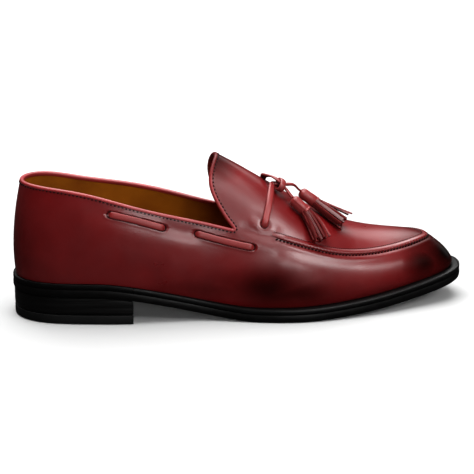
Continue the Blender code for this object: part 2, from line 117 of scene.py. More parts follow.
# %% A smooth curve through a table
def spline(knots, values, at, first=None, last=None):
    """A cubic spline through the knots; an end slope that isn't given makes a natural end."""
    x, y, at = (np.asarray(v, float) for v in (knots, values, at))
    n, h = len(x), np.diff(x)
    system, right = np.zeros((n, n)), np.zeros(n)
    for i in range(1, n - 1):
        system[i, i - 1:i + 2] = h[i - 1], 2 * (h[i - 1] + h[i]), h[i]
        right[i] = 6 * ((y[i + 1] - y[i]) / h[i] - (y[i] - y[i - 1]) / h[i - 1])
    system[0, 0] = system[-1, -1] = 1
    if first is not None:
        system[0, :2] = 2 * h[0], h[0]
        right[0] = 6 * ((y[1] - y[0]) / h[0] - first)
    if last is not None:
        system[-1, -2:] = h[-1], 2 * h[-1]
        right[-1] = 6 * (last - (y[-1] - y[-2]) / h[-1])
    m = np.linalg.solve(system, right)
    i = np.clip(np.searchsorted(x, at) - 1, 0, n - 2)
    a, b = (x[i + 1] - at) / h[i], (at - x[i]) / h[i]
    return a * y[i] + b * y[i + 1] + ((a**3 - a) * m[i] + (b**3 - b) * m[i + 1]) * h[i] ** 2 / 6


def around(share):
    return np.arccos(1 - 2 * np.clip(np.asarray(share, float), 0, 1)) / math.pi


def share_of(u):
    return (1 - np.cos(math.pi * np.asarray(u, float))) / 2


print("the ball is at loop parameter", round(float(around(0.72)), 3))

# %% [markdown]
# Each outline, height or edge of the shoe is now one small function. The heel sits higher than the ball
# and the toe springs a little off the floor, as on a real last; sole and welt are laid on from below.

# %% Curves of the last
def plan(u):
    """Half breadth and middle line of the feather edge."""
    rows = np.array(PLAN_ROWS)
    knots = np.concatenate([[0], around(rows[:, 0]), [1]])
    ends = np.sqrt(np.array([HEEL_RADIUS, TOE_RADIUS]) * UPPER_LENGTH / 2)
    breadth = rows[:, 1] * BALL_WIDTH / np.sin(math.pi * knots[1:-1])
    shift = np.concatenate([[0], rows[:, 2], [TOE_SHIFT]]) * BALL_WIDTH
    half = spline(knots, np.concatenate([ends[:1], breadth, ends[1:]]), u, 0, 0)
    return half * np.sin(math.pi * np.asarray(u, float)), spline(knots, shift, u, 0, 0)


def bottom(share):
    """Height of the outsole's lower face."""
    share = np.asarray(share, float)
    rise = np.clip((FLAT_START - share) / (FLAT_START - SEAT_END), 0, 1)
    spring = np.clip((share - FLAT_END) / (1 - FLAT_END), 0, 1.2)
    return HEEL_RISE * rise**2 * (3 - 2 * rise) + TOE_SPRING * spring**2


def sole_top(share):
    return bottom(share) + OUTSOLE_THICK


def feather(share):
    return sole_top(share) + WELT_THICK + 2 * GAP


def ridge(share):
    rows = np.array(RIDGE_ROWS)
    return spline(rows[:, 0], rows[:, 1], share) * INSTEP_HEIGHT


def collar(side, share):
    rows = np.array(COLLAR_ROWS)
    return spline(rows[:, 0], rows[:, 1 if side < 0 else 2], share) * COLLAR_HEIGHT


def edge(side, u, offset, step=1e-3):
    """The feather edge moved outwards in plan: an array of x and y."""
    u = np.asarray(u, float)
    near = np.stack([u - step, u, u + step])
    half, middle = plan(near)
    x, y = share_of(near) * UPPER_LENGTH, middle + side * half
    tangent = np.stack([x[2] - x[0], y[2] - y[0]], axis=-1)
    tangent /= np.linalg.norm(tangent, axis=-1, keepdims=True)
    out = side * np.stack([-tangent[..., 1], tangent[..., 0]], axis=-1)
    return np.stack([x[1], y[1]], axis=-1) + out * np.asarray(offset)[..., None]


def stand(u):
    """How far the sole's edge stands out past the feather edge."""
    rows = np.array(EDGE_ROWS)
    return spline(rows[:, 0], rows[:, 1], share_of(u)) * EDGE_WIDTH


print("collar at the heel:", round(float(collar(-1, 0.0)), 4), "m")

# %% [markdown]
# The sections are worked out once, as a fine net of points on each side of the last. A lofted surface
# could stand in for it, but a net gives the place of any point at once, and very many are asked for
# below. Each section is a rounded corner from the feather edge up and over to the ridge, with a slight
# bulge at the foot of the wall. The frame has its origin under the middle of the shoe, so the net is
# shifted there by the outsole's own box.

# %% A net over the last
NET_SECTIONS, NET_POINTS, SECTION_STEPS = 1201, 401, 500


def outline(side, steps=400):
    u = np.linspace(0, 1, steps)
    return edge(side, u, stand(u))


own = np.concatenate([outline(-1), outline(1)])
low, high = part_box("outsole")
SHIFT = np.array([(low.x + high.x) / 2, (low.y + high.y) / 2, low.z])
SHIFT[:2] -= (own.min(axis=0) + own.max(axis=0)) / 2


def last_net(side):
    u = np.linspace(0, 1, NET_SECTIONS)[:, None]
    half, middle = plan(u)
    rows = np.array(WALL_ROWS)
    round_, bulge = (spline(rows[:, 0], rows[:, k], share_of(u)) for k in (1, 2))
    x0, y0 = share_of(u) * UPPER_LENGTH, middle + side * half
    x1 = (RIDGE_BACK + (RIDGE_FRONT - RIDGE_BACK) * share_of(u)) * UPPER_LENGTH
    y1 = plan(around(x1 / UPPER_LENGTH))[1]
    turn = np.linspace(0, math.pi / 2, SECTION_STEPS)[None, :]
    up = np.sin(turn) ** (2 / round_)
    bulging = bulge / np.hypot(x1 - x0, y1 - y0) * up * (1 - up) ** 3 / BULGE_PEAK
    inward = 1 - np.cos(turn) ** (2 / round_) - bulging
    x, y = x0 + (x1 - x0) * inward, y0 + (y1 - y0) * inward
    drop = ridge(x0 / UPPER_LENGTH) - feather(x0 / UPPER_LENGTH)
    points = np.stack([x, y, ridge(x / UPPER_LENGTH) - drop * (1 - up)], axis=2)
    steps = np.linalg.norm(np.diff(points, axis=1), axis=2)
    along = np.concatenate([np.zeros((len(u), 1)), np.cumsum(steps, axis=1)], axis=1)
    net = np.empty((NET_SECTIONS, NET_POINTS, 3))
    for i in range(NET_SECTIONS):
        at = np.linspace(0, along[i, -1], NET_POINTS)
        for k in range(3):
            net[i, :, k] = np.interp(at, along[i], points[i, :, k])
    return net + SHIFT, along[:, -1]


LAST, GIRTH = {}, {}
for side in (-1, 1):
    LAST[side], GIRTH[side] = last_net(side)


print("last net:", LAST[-1].shape, "shift", SHIFT.round(4))

# %% [markdown]
# Every piece that lies on the shoe reads its places with `on_last`: by `u` along the loop, and by `v`,
# the share of the girth from the feather edge (0) up to the ridge (1). `leather_out` gives the way out
# of the leather, which laces, stitches and binding need in order to lie on it.

# %% Reading the net
def on_last(side, u, v):
    """Points on the last at loop parameters u and shares v of the girth."""
    u, v = np.broadcast_arrays(np.asarray(u, float), np.asarray(v, float))
    a, b = np.clip(u, 0, 1) * (NET_SECTIONS - 1), np.clip(v, 0, 1) * (NET_POINTS - 1)
    i, j = np.minimum(a.astype(int), NET_SECTIONS - 2), np.minimum(b.astype(int), NET_POINTS - 2)
    a, b = (a - i)[..., None], (b - j)[..., None]
    net = LAST[side]
    near = net[i, j] * (1 - b) + net[i, j + 1] * b
    far = net[i + 1, j] * (1 - b) + net[i + 1, j + 1] * b
    return near * (1 - a) + far * a


def unit(vectors):
    vectors = np.asarray(vectors, float)
    return vectors / np.maximum(np.linalg.norm(vectors, axis=-1, keepdims=True), 1e-12)


def leather_out(side, u, v, step=2e-3):
    """The direction out of the leather."""
    u, v = np.asarray(u, float), np.asarray(v, float)
    along = on_last(side, np.minimum(u + step, 1), v) - on_last(side, np.maximum(u - step, 0), v)
    up = on_last(side, u, np.minimum(v + 5 * step, 1)) - on_last(side, u, np.maximum(v - 5 * step, 0))
    return unit(np.cross(along, up) * -side)


def above_last(side, share, v, height):
    u = around(share)
    return on_last(side, u, v) + leather_out(side, u, v) * np.asarray(height)[..., None]


print("top of the instep:", above_last(-1, 0.5, 1.0, 0.0).round(4))

# %% [markdown]
# ## The camera
#
# The photograph looks down a little on the outer side, with the toe to the right. Which sides of a
# thing are seen depends only on where the camera stands, so that place was found first. From there the
# camera only turns and widens a little, to have the whole shoe in the picture.

# %% Camera
CAMERA_AZIMUTH, CAMERA_HEIGHT_ANGLE, CAMERA_DISTANCE = math.radians(-10), math.radians(15.5), 1.15
STOOD_AT = np.array([0.1821, 0.0, 0.0594]) + SHIFT
AIM = np.array([-0.0020, 0.0, 0.0440])
LENS_MM = 133.0

back = np.array([
    math.sin(CAMERA_AZIMUTH) * math.cos(CAMERA_HEIGHT_ANGLE),
    -math.cos(CAMERA_AZIMUTH) * math.cos(CAMERA_HEIGHT_ANGLE),
    math.sin(CAMERA_HEIGHT_ANGLE),
])
camera = bpy.data.objects.new("camera", bpy.data.cameras.new("camera"))
bpy.context.scene.collection.objects.link(camera)
camera.location = STOOD_AT + back * CAMERA_DISTANCE
camera.rotation_euler = (Vector(AIM) - camera.location).to_track_quat("-Z", "Y").to_euler()
camera.data.lens = LENS_MM
camera.data.sensor_width = 36
bpy.context.scene.camera = camera
print("camera at", [round(c, 3) for c in camera.location])

# %% [markdown]
# ## Mesh helpers
#
# A mesh is a list of points and a list of faces. Pieces could be modelled by hand or with modifiers,
# but all of this shoe's surfaces are read from the net, so `make_mesh` takes the two lists, turns the
# faces outwards, shades them smooth with crisp corners, and lets the piece ride on the shoe.
# `tube_faces` joins rings of points into a tube.

# %% Pieces from points and faces
def make_mesh(name, points, faces, material, replaced=(), flat=50):
    """An object from points and faces, facing out and shaded smooth, riding on the shoe."""
    mesh = bpy.data.meshes.new(name)
    mesh.from_pydata(np.asarray(points).tolist(), [], [tuple(f) for f in faces])
    work = bmesh.new()
    work.from_mesh(mesh)
    bmesh.ops.recalc_face_normals(work, faces=work.faces)
    work.to_mesh(mesh)
    work.free()
    mesh.shade_smooth()
    mesh.set_sharp_from_angle(angle=math.radians(flat))
    mesh.materials.append(material)
    made = bpy.data.objects.new(name, mesh)
    bpy.context.scene.collection.objects.link(made)
    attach(made, "root")
    if replaced:
        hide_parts(*replaced)
    print(f"{name}: {sum(len(p.vertices) - 2 for p in mesh.polygons)} triangles")
    return made


def tube_faces(rings, sides, closed=False, start=0):
    """Quads of a tube of equal rings, with its ends capped unless it closes on itself."""
    faces = []
    for r in range(rings if closed else rings - 1):
        near, far = start + r * sides, start + (r + 1) % rings * sides
        for k in range(sides):
            faces.append((near + k, near + (k + 1) % sides, far + (k + 1) % sides, far + k))
    if not closed:
        faces.append(tuple(range(start, start + sides)))
        faces.append(tuple(range(start + (rings - 1) * sides, start + rings * sides)))
    return faces


print("a tube of 3 rings of 4 has", len(tube_faces(3, 4)), "faces")

# %% [markdown]
# Laces, binding and seams are strips: one section carried along a line. A curve object with a bevel
# makes these too, but it turns the section by rules of its own, and a flat lace has to face out of the
# leather all the way. `swept` sets each ring square to the line and to the leather.

# %% Strips along a line
def directions(points, closed=False):
    if closed:
        return unit(np.roll(points, -1, axis=0) - np.roll(points, 1, axis=0))
    return unit(np.gradient(points, axis=0))


def swept(points, outs, section, closed=False, scale=None):
    """Rings of a section (across, out) carried along points; scale gives each ring's (width, thickness)."""
    ahead = directions(points, closed)
    outs = unit(outs - ahead * np.sum(outs * ahead, axis=1, keepdims=True))
    across = np.cross(outs, ahead)
    section = np.asarray(section, float)
    scale = np.ones((len(points), 2)) if scale is None else np.asarray(scale)
    rings = points[:, None] + across[:, None] * (section[None, :, :1] * scale[:, None, :1])
    rings = rings + outs[:, None] * (section[None, :, 1:] * scale[:, None, 1:])
    return rings.reshape(-1, 3)


flat_line = np.array([[0, 0, 0], [1, 0, 0], [2, 0, 0.0]])
flat_ring = swept(flat_line, np.array([[0, 0, 1.0]] * 3), [(-1, 0), (1, 0)])[:2]
print("first ring of a flat strip:", flat_ring.tolist())

# %% [markdown]
# A line has to be even before a section is carried along it, or the strip bunches. `resample` spaces
# its points, `softened` takes out corners as bending leather does, and `smoothstep` is a soft switch
# from 0 to 1 that many of the shapes below use.

# %% Even and soft lines
def resample(points, spacing, closed=False, extra=()):
    """Points at even spacing along a line, with any extra rows of values carried along."""
    stack = np.concatenate([points, *extra], axis=1)
    if closed:
        stack = np.concatenate([stack, stack[:1]])
    run = np.concatenate([[0], np.cumsum(np.linalg.norm(np.diff(stack[:, :3], axis=0), axis=1))])
    count = max(4, int(round(run[-1] / spacing)))
    at = np.linspace(0, run[-1], count + 1)
    if closed:
        at = at[:-1]
    return np.stack([np.interp(at, run, stack[:, k]) for k in range(stack.shape[1])], axis=1)


def softened(rows, passes, closed=False):
    """Rows smoothed by averaging each with its neighbours."""
    rows = np.array(rows, float)
    for _ in range(passes):
        if closed:
            rows = (np.roll(rows, 1, axis=0) + 2 * rows + np.roll(rows, -1, axis=0)) / 4
        else:
            rows[1:-1] = (rows[:-2] + 2 * rows[1:-1] + rows[2:]) / 4
    return rows


def smoothstep(low, high, value):
    t = np.clip((np.asarray(value, float) - low) / (high - low), 0, 1)
    return t * t * (3 - 2 * t)


print("half way up the soft step:", float(smoothstep(0, 1, 0.5)))

# %% [markdown]
# ## Materials
#
# A finish is a small network of nodes round one Principled shader. It could be wired by hand in the
# shader editor. In a script each node takes several lines, so the `Finish` class gives every node that
# this shoe needs a short name. Noise is read in the object's own space, so that it stays on the leather
# when the shoe moves.

# %% Material helpers
SOCKETS = {
    "coat_weight": "Coat Weight",
    "coat_roughness": "Coat Roughness",
    "specular_ior_level": "Specular IOR Level",
}


class Finish:
    """A material and short calls that add nodes to it."""

    def __init__(self, name, colour, roughness, **inputs):
        self.material = bpy.data.materials.new(name)
        self.material.use_nodes = True
        self.tree = self.material.node_tree
        self.shader = self.tree.nodes["Principled BSDF"]
        self.shader.inputs["Base Color"].default_value = (*colour, 1)
        self.shader.inputs["Roughness"].default_value = roughness
        for key, value in inputs.items():
            self.shader.inputs[SOCKETS[key]].default_value = value
        self.place = self.add("ShaderNodeTexCoord").outputs["Object"]

    def add(self, kind, **settings):
        node = self.tree.nodes.new(kind)
        for key, value in settings.items():
            setattr(node, key, value)
        return node

    def link(self, output, node, socket):
        self.tree.links.new(output, node.inputs[socket])

    def noise(self, scale, detail=2.0, roughness=0.5, stretch=None):
        node = self.add("ShaderNodeTexNoise")
        node.inputs["Scale"].default_value = scale
        node.inputs["Detail"].default_value = detail
        node.inputs["Roughness"].default_value = roughness
        if stretch is None:
            self.link(self.place, node, "Vector")
        else:
            mapping = self.add("ShaderNodeMapping")
            mapping.inputs["Scale"].default_value = stretch
            self.link(self.place, mapping, "Vector")
            self.link(mapping.outputs["Vector"], node, "Vector")
        return node.outputs["Fac"]

    def ramp(self, value, low, high, to_low=0.0, to_high=1.0):
        node = self.add("ShaderNodeMapRange")
        for socket, number in zip(("From Min", "From Max", "To Min", "To Max"), (low, high, to_low, to_high)):
            node.inputs[socket].default_value = number
        self.link(value, node, "Value")
        return node.outputs["Result"]

    def sum(self, first, second, by=1.0):
        node = self.add("ShaderNodeMath", operation="MULTIPLY_ADD")
        self.link(second, node, 0)
        node.inputs[1].default_value = by
        self.link(first, node, 2)
        return node.outputs[0]

    def mix(self, factor, first, second):
        node = self.add("ShaderNodeMix", data_type="RGBA")
        self.link(factor, node, 0)
        for socket, colour in ((6, first), (7, second)):
            if isinstance(colour, tuple):
                node.inputs[socket].default_value = (*colour, 1)
            else:
                self.link(colour, node, socket)
        return node.outputs[2]

    def attribute(self, name):
        return self.add("ShaderNodeAttribute", attribute_name=name).outputs["Fac"]

    def paint(self, colour):
        self.link(colour, self.shader, "Base Color")

    def rough(self, value):
        self.link(value, self.shader, "Roughness")

    def bump(self, height, strength, distance):
        node = self.add("ShaderNodeBump")
        node.inputs["Strength"].default_value = strength
        node.inputs["Distance"].default_value = distance
        self.link(height, node, "Height")
        if self.shader.inputs["Normal"].is_linked:
            self.link(self.shader.inputs["Normal"].links[0].from_socket, node, "Normal")
        self.link(node.outputs["Normal"], self.shader, "Normal")


print("node calls:", [call for call in vars(Finish) if not call.startswith("_")])

# %% [markdown]
# The leather is calf, dyed a deep red and burnished. The dye is uneven, so the colour is mixed by noise at
# two scales, and the grain is a very fine bump. The burnish is wax that a finisher rubs in; low on the outer
# wall the same mark is also painted shade. It is read from an attribute that the mesh carries, because it
# belongs to places on the shoe and not to a pattern. Where the mark is thick the leather is nearly black, and
# its reflection is weaker and redder.

# %% Polished calf
# thresholds of the mask that holds the wax and the painted shade low on the outer wall
WAX_AND_SHADE_FROM, WAX_AND_SHADE_FULL = 0.21, 1.08


def calf(name, red, dark, roughness, coat, gloss=0.46):
    """Polished calf: uneven dye, burnish and painted shade from the mesh, fine grain."""
    finish = Finish(name, red, roughness, coat_weight=coat, coat_roughness=0.20, specular_ior_level=gloss)
    cloudy = finish.ramp(finish.noise(28, 3), 0.35, 0.70)
    dye = finish.mix(cloudy, red, tuple(c * 0.72 for c in red))
    fleck = finish.ramp(finish.noise(420, 2), 0.40, 0.75, 0.0, 0.12)
    dye = finish.mix(fleck, dye, tuple(c * 0.80 for c in red))
    # the attribute holds the wax and, low on the outer wall, painted shade: it darkens the dye and weakens
    # the reflection
    burnish = finish.sum(finish.attribute("burnish"), finish.noise(60, 3), 0.22)
    wax_and_shade = finish.ramp(burnish, WAX_AND_SHADE_FROM, WAX_AND_SHADE_FULL)
    finish.paint(finish.mix(wax_and_shade, dye, dark))
    finish.link(finish.ramp(wax_and_shade, 0.0, 1.0, gloss, 0.05), finish.shader, "Specular IOR Level")
    finish.link(finish.mix(wax_and_shade, (1.0, 1.0, 1.0), (0.38, 0.20, 0.17)), finish.shader, "Specular Tint")
    finish.rough(finish.ramp(finish.noise(90, 3), 0.0, 1.0, roughness - 0.07, roughness + 0.09))
    finish.bump(finish.noise(1500, 3, 0.6), 0.10, 0.0003)
    finish.bump(finish.noise(45, 2), 0.04, 0.0012)
    return finish.material


print("wax shows from", WAX_AND_SHADE_FROM, "and is full at", WAX_AND_SHADE_FULL)

# %% [markdown]
# Four reds share the calf finish: the upper's deep one, a paler and flatter one for the lace and one
# for the binding, which take less wax, and a dark one for the fringe, where little light gets in
# between the strips.

# %% Reds of the shoe
OXBLOOD, OXBLOOD_DARK = (0.090, 0.0031, 0.0038), (0.0022, 0.0007, 0.0006)
LACE_RED, BINDING_RED = (0.140, 0.0125, 0.0125), (0.185, 0.0170, 0.0190)

calf_red = calf("burnished_calf_finish", OXBLOOD, OXBLOOD_DARK, 0.30, 0.02)
lace_red = calf("lace_leather_finish", LACE_RED, OXBLOOD_DARK, 0.42, 0.02, 0.35)
binding_red = calf("binding_finish", BINDING_RED, OXBLOOD_DARK, 0.40, 0.02, 0.35)
fringe_red = calf("fringe_finish", (0.056, 0.0044, 0.0044), OXBLOOD_DARK, 0.34, 0.02, 0.30)

print("reds made:", len(bpy.data.materials))

# %% [markdown]
# The lining is tan leather with hardly any gloss. The edges of sole and welt are leather too, inked
# black and waxed, and the heel is a stack of thin leather layers, whose lines are a noise stretched
# flat. Plain black would look like plastic, so each has a grain and an uneven gloss of its own.

# %% Lining, edges and sole
lining = Finish("lining_finish", (0.20, 0.078, 0.008), 0.60, specular_ior_level=0.15)
lining_cloud = lining.ramp(lining.noise(35, 4), 0.35, 0.7)
lining.paint(lining.mix(lining_cloud, (0.220, 0.078, 0.0045), (0.140, 0.042, 0.0025)))
lining.bump(lining.noise(1300, 3), 0.18, 0.0003)

edge_black = Finish("dressed_edge_finish", (0.0016, 0.0014, 0.0014), 0.38, specular_ior_level=0.18)
edge_black.rough(edge_black.ramp(edge_black.noise(220, 3), 0.3, 0.7, 0.36, 0.50))
edge_black.bump(edge_black.noise(700, 3, stretch=(0.25, 0.25, 1.6)), 0.20, 0.0003)

stack_black = Finish("stacked_leather_finish", (0.0018, 0.0016, 0.0016), 0.42, specular_ior_level=0.30)
layers = stack_black.noise(420, 2, stretch=(0.04, 0.04, 1.0))
stack_black.bump(layers, 0.45, 0.0006)
stack_black.rough(stack_black.ramp(layers, 0.3, 0.7, 0.30, 0.46))

sole_dark = Finish("sole_leather_finish", (0.020, 0.016, 0.014), 0.55)
sole_cloud = sole_dark.ramp(sole_dark.noise(60, 4), 0.3, 0.7)
sole_dark.paint(sole_dark.mix(sole_cloud, (0.008, 0.006, 0.005), (0.016, 0.011, 0.009)))
sole_dark.bump(sole_dark.noise(900, 4), 0.25, 0.0004)

print("leathers made:", len(bpy.data.materials))

# %% [markdown]
# The heel's top lift is dull rubber. The stitches are waxed thread, nearly black, with the twist of its
# fibres as a bump along it.

# %% Rubber and thread
rubber_black = Finish("heel_rubber_finish", (0.0022, 0.0022, 0.0022), 0.60, specular_ior_level=0.25)
rubber_black.bump(rubber_black.noise(1100, 2), 0.25, 0.0003)
rubber_black.rough(rubber_black.ramp(rubber_black.noise(150, 2), 0.3, 0.7, 0.52, 0.68))

thread_dark = Finish("dark_thread_finish", (0.006, 0.0015, 0.002), 0.60, specular_ior_level=0.12)
thread_dark.bump(thread_dark.noise(2600, 1, stretch=(1.0, 1.0, 0.3)), 0.3, 0.0002)
thread_fibre = thread_dark.ramp(thread_dark.noise(900, 2), 0.3, 0.7)
thread_dark.paint(thread_dark.mix(thread_fibre, (0.002, 0.0006, 0.0006), (0.008, 0.0018, 0.0018)))
print("finishes made:", len(bpy.data.materials))

# %% [markdown]
# ## The upper
#
# The real upper is cut from calf skin and closed over the last. Its edges are lines on the last: the
# topline round the foot, the leaning edge of the flap, and the moccasin seam round the toe. A plain
# surface could be cut along them with booleans, but that leaves thin triangles that a gloss shows up,
# so each line is a function here and the mesh is drawn up to it.

# %% Edges and seam lines
QUARTER_COLUMNS, THROAT_COLUMNS = 160, 280
# row number and share of the way from the feather edge to the topline
QUARTER_ROW_STOPS = ((0, 0.0), (22, 0.70), (54, 0.96), (64, 1.0))
# row number and share of the way from there to the ridge
VAMP_ROW_STOPS = ((0, 0.0), (8, 0.10), (36, 1.0))
# the moccasin seam's outer line: share of the length, share of the girth
SEAM_ROWS = (
    (0.566, 0.482), (0.602, 0.468), (0.641, 0.450), (0.680, 0.430), (0.714, 0.415), (0.760, 0.408),
    (0.821, 0.414), (0.870, 0.428), (0.926, 0.456), (0.975, 0.492), (1.000, 0.510),
)
SEAM_BAND = 0.052


def seam_v(u):
    """The share of girth at which the moccasin seam runs."""
    rows = np.array(SEAM_ROWS)
    return spline(around(rows[:, 0]), rows[:, 1], u, last=0)


def topline(side, u):
    """The share of girth at which each section reaches the topline."""
    found = []
    for one in np.atleast_1d(u):
        v = np.linspace(0.2, 0.8, 400)
        points = on_last(side, one, v) - SHIFT
        found.append(np.interp(0, points[:, 2] - collar(side, points[:, 0] / UPPER_LENGTH), v))
    return np.array(found)


def leaning(side, u, rise):
    """Loop parameters of a vamp column: beside the throat it leans back with the flap's edge."""
    rows = np.array(FLAP_ROWS)
    corner = around(CORNER)
    fall = np.clip(1 - (u - corner) / (1 - corner) / LEAN_REACH, 0, 1)
    lean = spline(rows[:, 0], rows[:, 1 if side < 0 else 2], rise, last=0) * fall**2 * (3 - 2 * fall)
    return around(share_of(u) + lean)


def row_shares(stops):
    rows = np.array(stops)
    return np.interp(np.arange(rows[-1, 0] + 1), rows[:, 0], rows[:, 1])


print("topline over the arch at share of girth", topline(-1, 0.4).round(3))

# %% [markdown]
# Two grids a side make the skin: quarters from the heel to the throat's corner, and the vamp from there
# to the toe, whose columns lean back along the flap's edge. Rows are close together where the lace bars
# lie, and loose where the leather is plain.

# %% Grids of the upper
def upper_grids():
    """For each side: quarters and vamp, as arrays of (x, y, z, u, v, side)."""
    corner = float(around(CORNER))
    low_rows, high_rows = row_shares(QUARTER_ROW_STOPS), row_shares(VAMP_ROW_STOPS)
    throat = {side: topline(side, corner)[0] for side in (-1, 1)}
    grids = {}
    for side in (-1, 1):
        u = np.linspace(0, corner, QUARTER_COLUMNS + 1)
        top = topline(side, u)
        top[0] = topline(-1, 0)[0]
        top[-1] = throat[side]
        grids[side, "quarter"] = (u[:, None] + 0 * low_rows, top[:, None] * low_rows)
        u = np.linspace(corner, 1, THROAT_COLUMNS + 1)
        far = smoothstep(corner, around(0.60), u)
        level = throat[side] * (1 - far) + (seam_v(np.maximum(u, around(0.57))) + SEAM_BAND) * far
        below_v = level[:, None] * low_rows
        rise_v = level[:, None] + (1 - level[:, None]) * high_rows[1:]
        rise_u = leaning(side, u[:, None], high_rows[None, 1:])
        low_u = u[:, None] + 0 * low_rows
        all_u = np.concatenate([low_u, rise_u], axis=1)
        all_v = np.concatenate([below_v, rise_v], axis=1)
        grids[side, "vamp"] = (all_u, all_v)
    made = {}
    for (side, part), (u, v) in grids.items():
        points = on_last(side, u, v)
        if part == "quarter":
            points[0] = on_last(-1, u[0], v[0])
        else:
            points[-1] = on_last(-1, u[-1], v[-1])
            points[:, -1] = on_last(-1, u[:, -1], 1.0)
        own_side = np.full(u.shape + (1,), side)
        made[side, part] = np.concatenate([points, u[..., None], v[..., None], own_side], axis=2)
    return made


print("a half has", QUARTER_COLUMNS + THROAT_COLUMNS, "columns")

# %% [markdown]
# The grids share their edges, and a gap there would show as a dark line. Merge by Distance is Blender's
# usual way. Keeping one of each rounded place does the same, and it also tells each grid the new
# numbers of its points, which the binding and the lining need to find the open edges.

# %% Sewing the grids
def sew(grids):
    """One list of rows for all the grids, and each grid's own numbers in that list."""
    flat = np.concatenate([g.reshape(-1, g.shape[2]) for g in grids.values()])
    keys = np.round(flat[:, :3] * 1e6).astype(np.int64)
    _, first, back_to = np.unique(keys, axis=0, return_index=True, return_inverse=True)
    back_to, ids, start = back_to.reshape(-1), {}, 0
    for key, g in grids.items():
        count = g.shape[0] * g.shape[1]
        ids[key] = back_to[start:start + count].reshape(g.shape[:2])
        start += count
    return flat[first], ids


def quads(ids, flip):
    a, b, c, d = ids[:-1, :-1], ids[1:, :-1], ids[1:, 1:], ids[:-1, 1:]
    faces = np.stack([a, b, c, d] if flip else [a, d, c, b], axis=2)
    return faces.reshape(-1, 4)


def point_normals(points, faces):
    out = np.zeros_like(points)
    a, b, c, d = (points[faces[:, k]] for k in range(4))
    for k in range(4):
        np.add.at(out, faces[:, k], np.cross(c - a, d - b))
    return unit(out)


grids = upper_grids()
rows, ids = sew(grids)
skin_faces = np.concatenate([quads(ids[key], key[0] < 0) for key in ids])
skin, skin_u, skin_v, skin_side = rows[:, :3], rows[:, 3], rows[:, 4], rows[:, 5]
skin_out = point_normals(skin, skin_faces)
print("upper skin:", len(skin), "points,", len(skin_faces), "quads")

# %% [markdown]
# The leather isn't smooth: it sinks where the lace runs in its slots, dips where the strap goes in, and has
# soft waves where the throat pulls. Sculpting would do it, but a stroke can't be measured or repeated. So
# each feature is a line, given in shares of the shoe's own sizes, with a width and a height.

# %% Places of slots and folds
# each lace bar's ends, as (share of length, share of girth)
BARS = (((0.201, 0.402), (0.320, 0.393)), ((0.395, 0.412), (0.516, 0.403)))
STRAP_SLOT = (0.549, 0.568)
# soft troughs (-) and ridges (+): side, places along the line, half width and height in mm
FOLDS = (
    (-1, ((0.490, 0.470), (0.520, 0.440), (0.560, 0.420)), 5.0, 0.35),
    (-1, ((0.500, 0.510), (0.530, 0.500), (0.560, 0.490)), 4.0, -0.40),
    (-1, ((0.535, 0.610), (0.549, 0.575), (0.575, 0.560)), 3.2, -0.28),
    (-1, ((0.525, 0.560), (0.540, 0.545), (0.560, 0.540)), 2.6, 0.35),
    (-1, ((0.330, 0.400), (0.360, 0.395), (0.390, 0.408)), 4.5, -0.45),
    (-1, ((0.150, 0.340), (0.260, 0.320), (0.380, 0.330)), 7.0, 0.30),
    (-1, ((0.590, 0.330), (0.680, 0.318), (0.780, 0.302), (0.870, 0.300)), 8.0, 0.75),
    (1, ((0.490, 0.470), (0.520, 0.440), (0.560, 0.420)), 5.0, 0.35),
    (1, ((0.500, 0.510), (0.530, 0.500), (0.560, 0.490)), 4.0, -0.40),
    (1, ((0.535, 0.610), (0.549, 0.575), (0.575, 0.560)), 3.2, -0.28),
    (1, ((0.330, 0.400), (0.360, 0.395), (0.390, 0.408)), 4.5, -0.45),
)


def line_on_last(side, places, count=40):
    """Points of a smooth line through places (share of length, share of girth)."""
    places = np.array(places)
    t = np.linspace(0, 1, len(places))
    at = np.linspace(0, 1, count)
    share, v = (spline(t, places[:, k], at) for k in (0, 1))
    return on_last(side, around(share), v)


def distance_to(points, line):
    return np.min(np.linalg.norm(points[:, None] - line[None], axis=2), axis=1)


def near_skin(line, reach):
    """Numbers of the skin's points within reach of a line, and their distances."""
    box = np.all((skin > line.min(axis=0) - reach) & (skin < line.max(axis=0) + reach), axis=1)
    found = np.nonzero(box)[0]
    gap = distance_to(skin[found], line)
    return found[gap < reach], gap[gap < reach]


print("folds placed:", len(FOLDS))

# %% [markdown]
# Each point of the skin moves along its own normal by how near it is to a line. A slot has a steep wall
# and a flat floor, because the leather is pressed over the lace's edge. A fold has the round shape of a
# bell curve.

# %% Press in slots and folds
# depth of a slot, half width of its floor and of its rim, in mm
SLOT_DEPTH, SLOT_FLOOR, SLOT_TOP = 0.80, 1.95, 2.5
# every fold is this many times as high as its row says
FOLD_GAIN = 1.1
relief = np.zeros(len(skin))
for side in (-1, 1):
    for ends in BARS:
        found, gap = near_skin(line_on_last(side, ends, 60), 6 * MM)
        relief[found] -= SLOT_DEPTH * MM * (1 - smoothstep(SLOT_FLOOR * MM, SLOT_TOP * MM, gap))
        relief[found] += 0.07 * MM * np.exp(-((gap - 3.1 * MM) / (0.8 * MM)) ** 2)
    found, gap = near_skin(line_on_last(side, (STRAP_SLOT, STRAP_SLOT), 2), 9 * MM)
    relief[found] -= 0.9 * MM * np.exp(-((gap / (2.6 * MM)) ** 2))
    relief[found] += 0.12 * MM * np.exp(-(((gap - 4.5 * MM) / (1.8 * MM)) ** 2))
for side, places, half_width, height in FOLDS:
    found, gap = near_skin(line_on_last(side, places), 3 * half_width * MM)
    relief[found] += FOLD_GAIN * height * MM * np.exp(-((gap / (half_width * MM)) ** 2))

print("deepest slot", round(-relief.min() / MM, 2), "mm")

# %% [markdown]
# At the moccasin seam the leather is drawn in on the line itself, swells just below it, and lies a
# little higher on the apron's side.

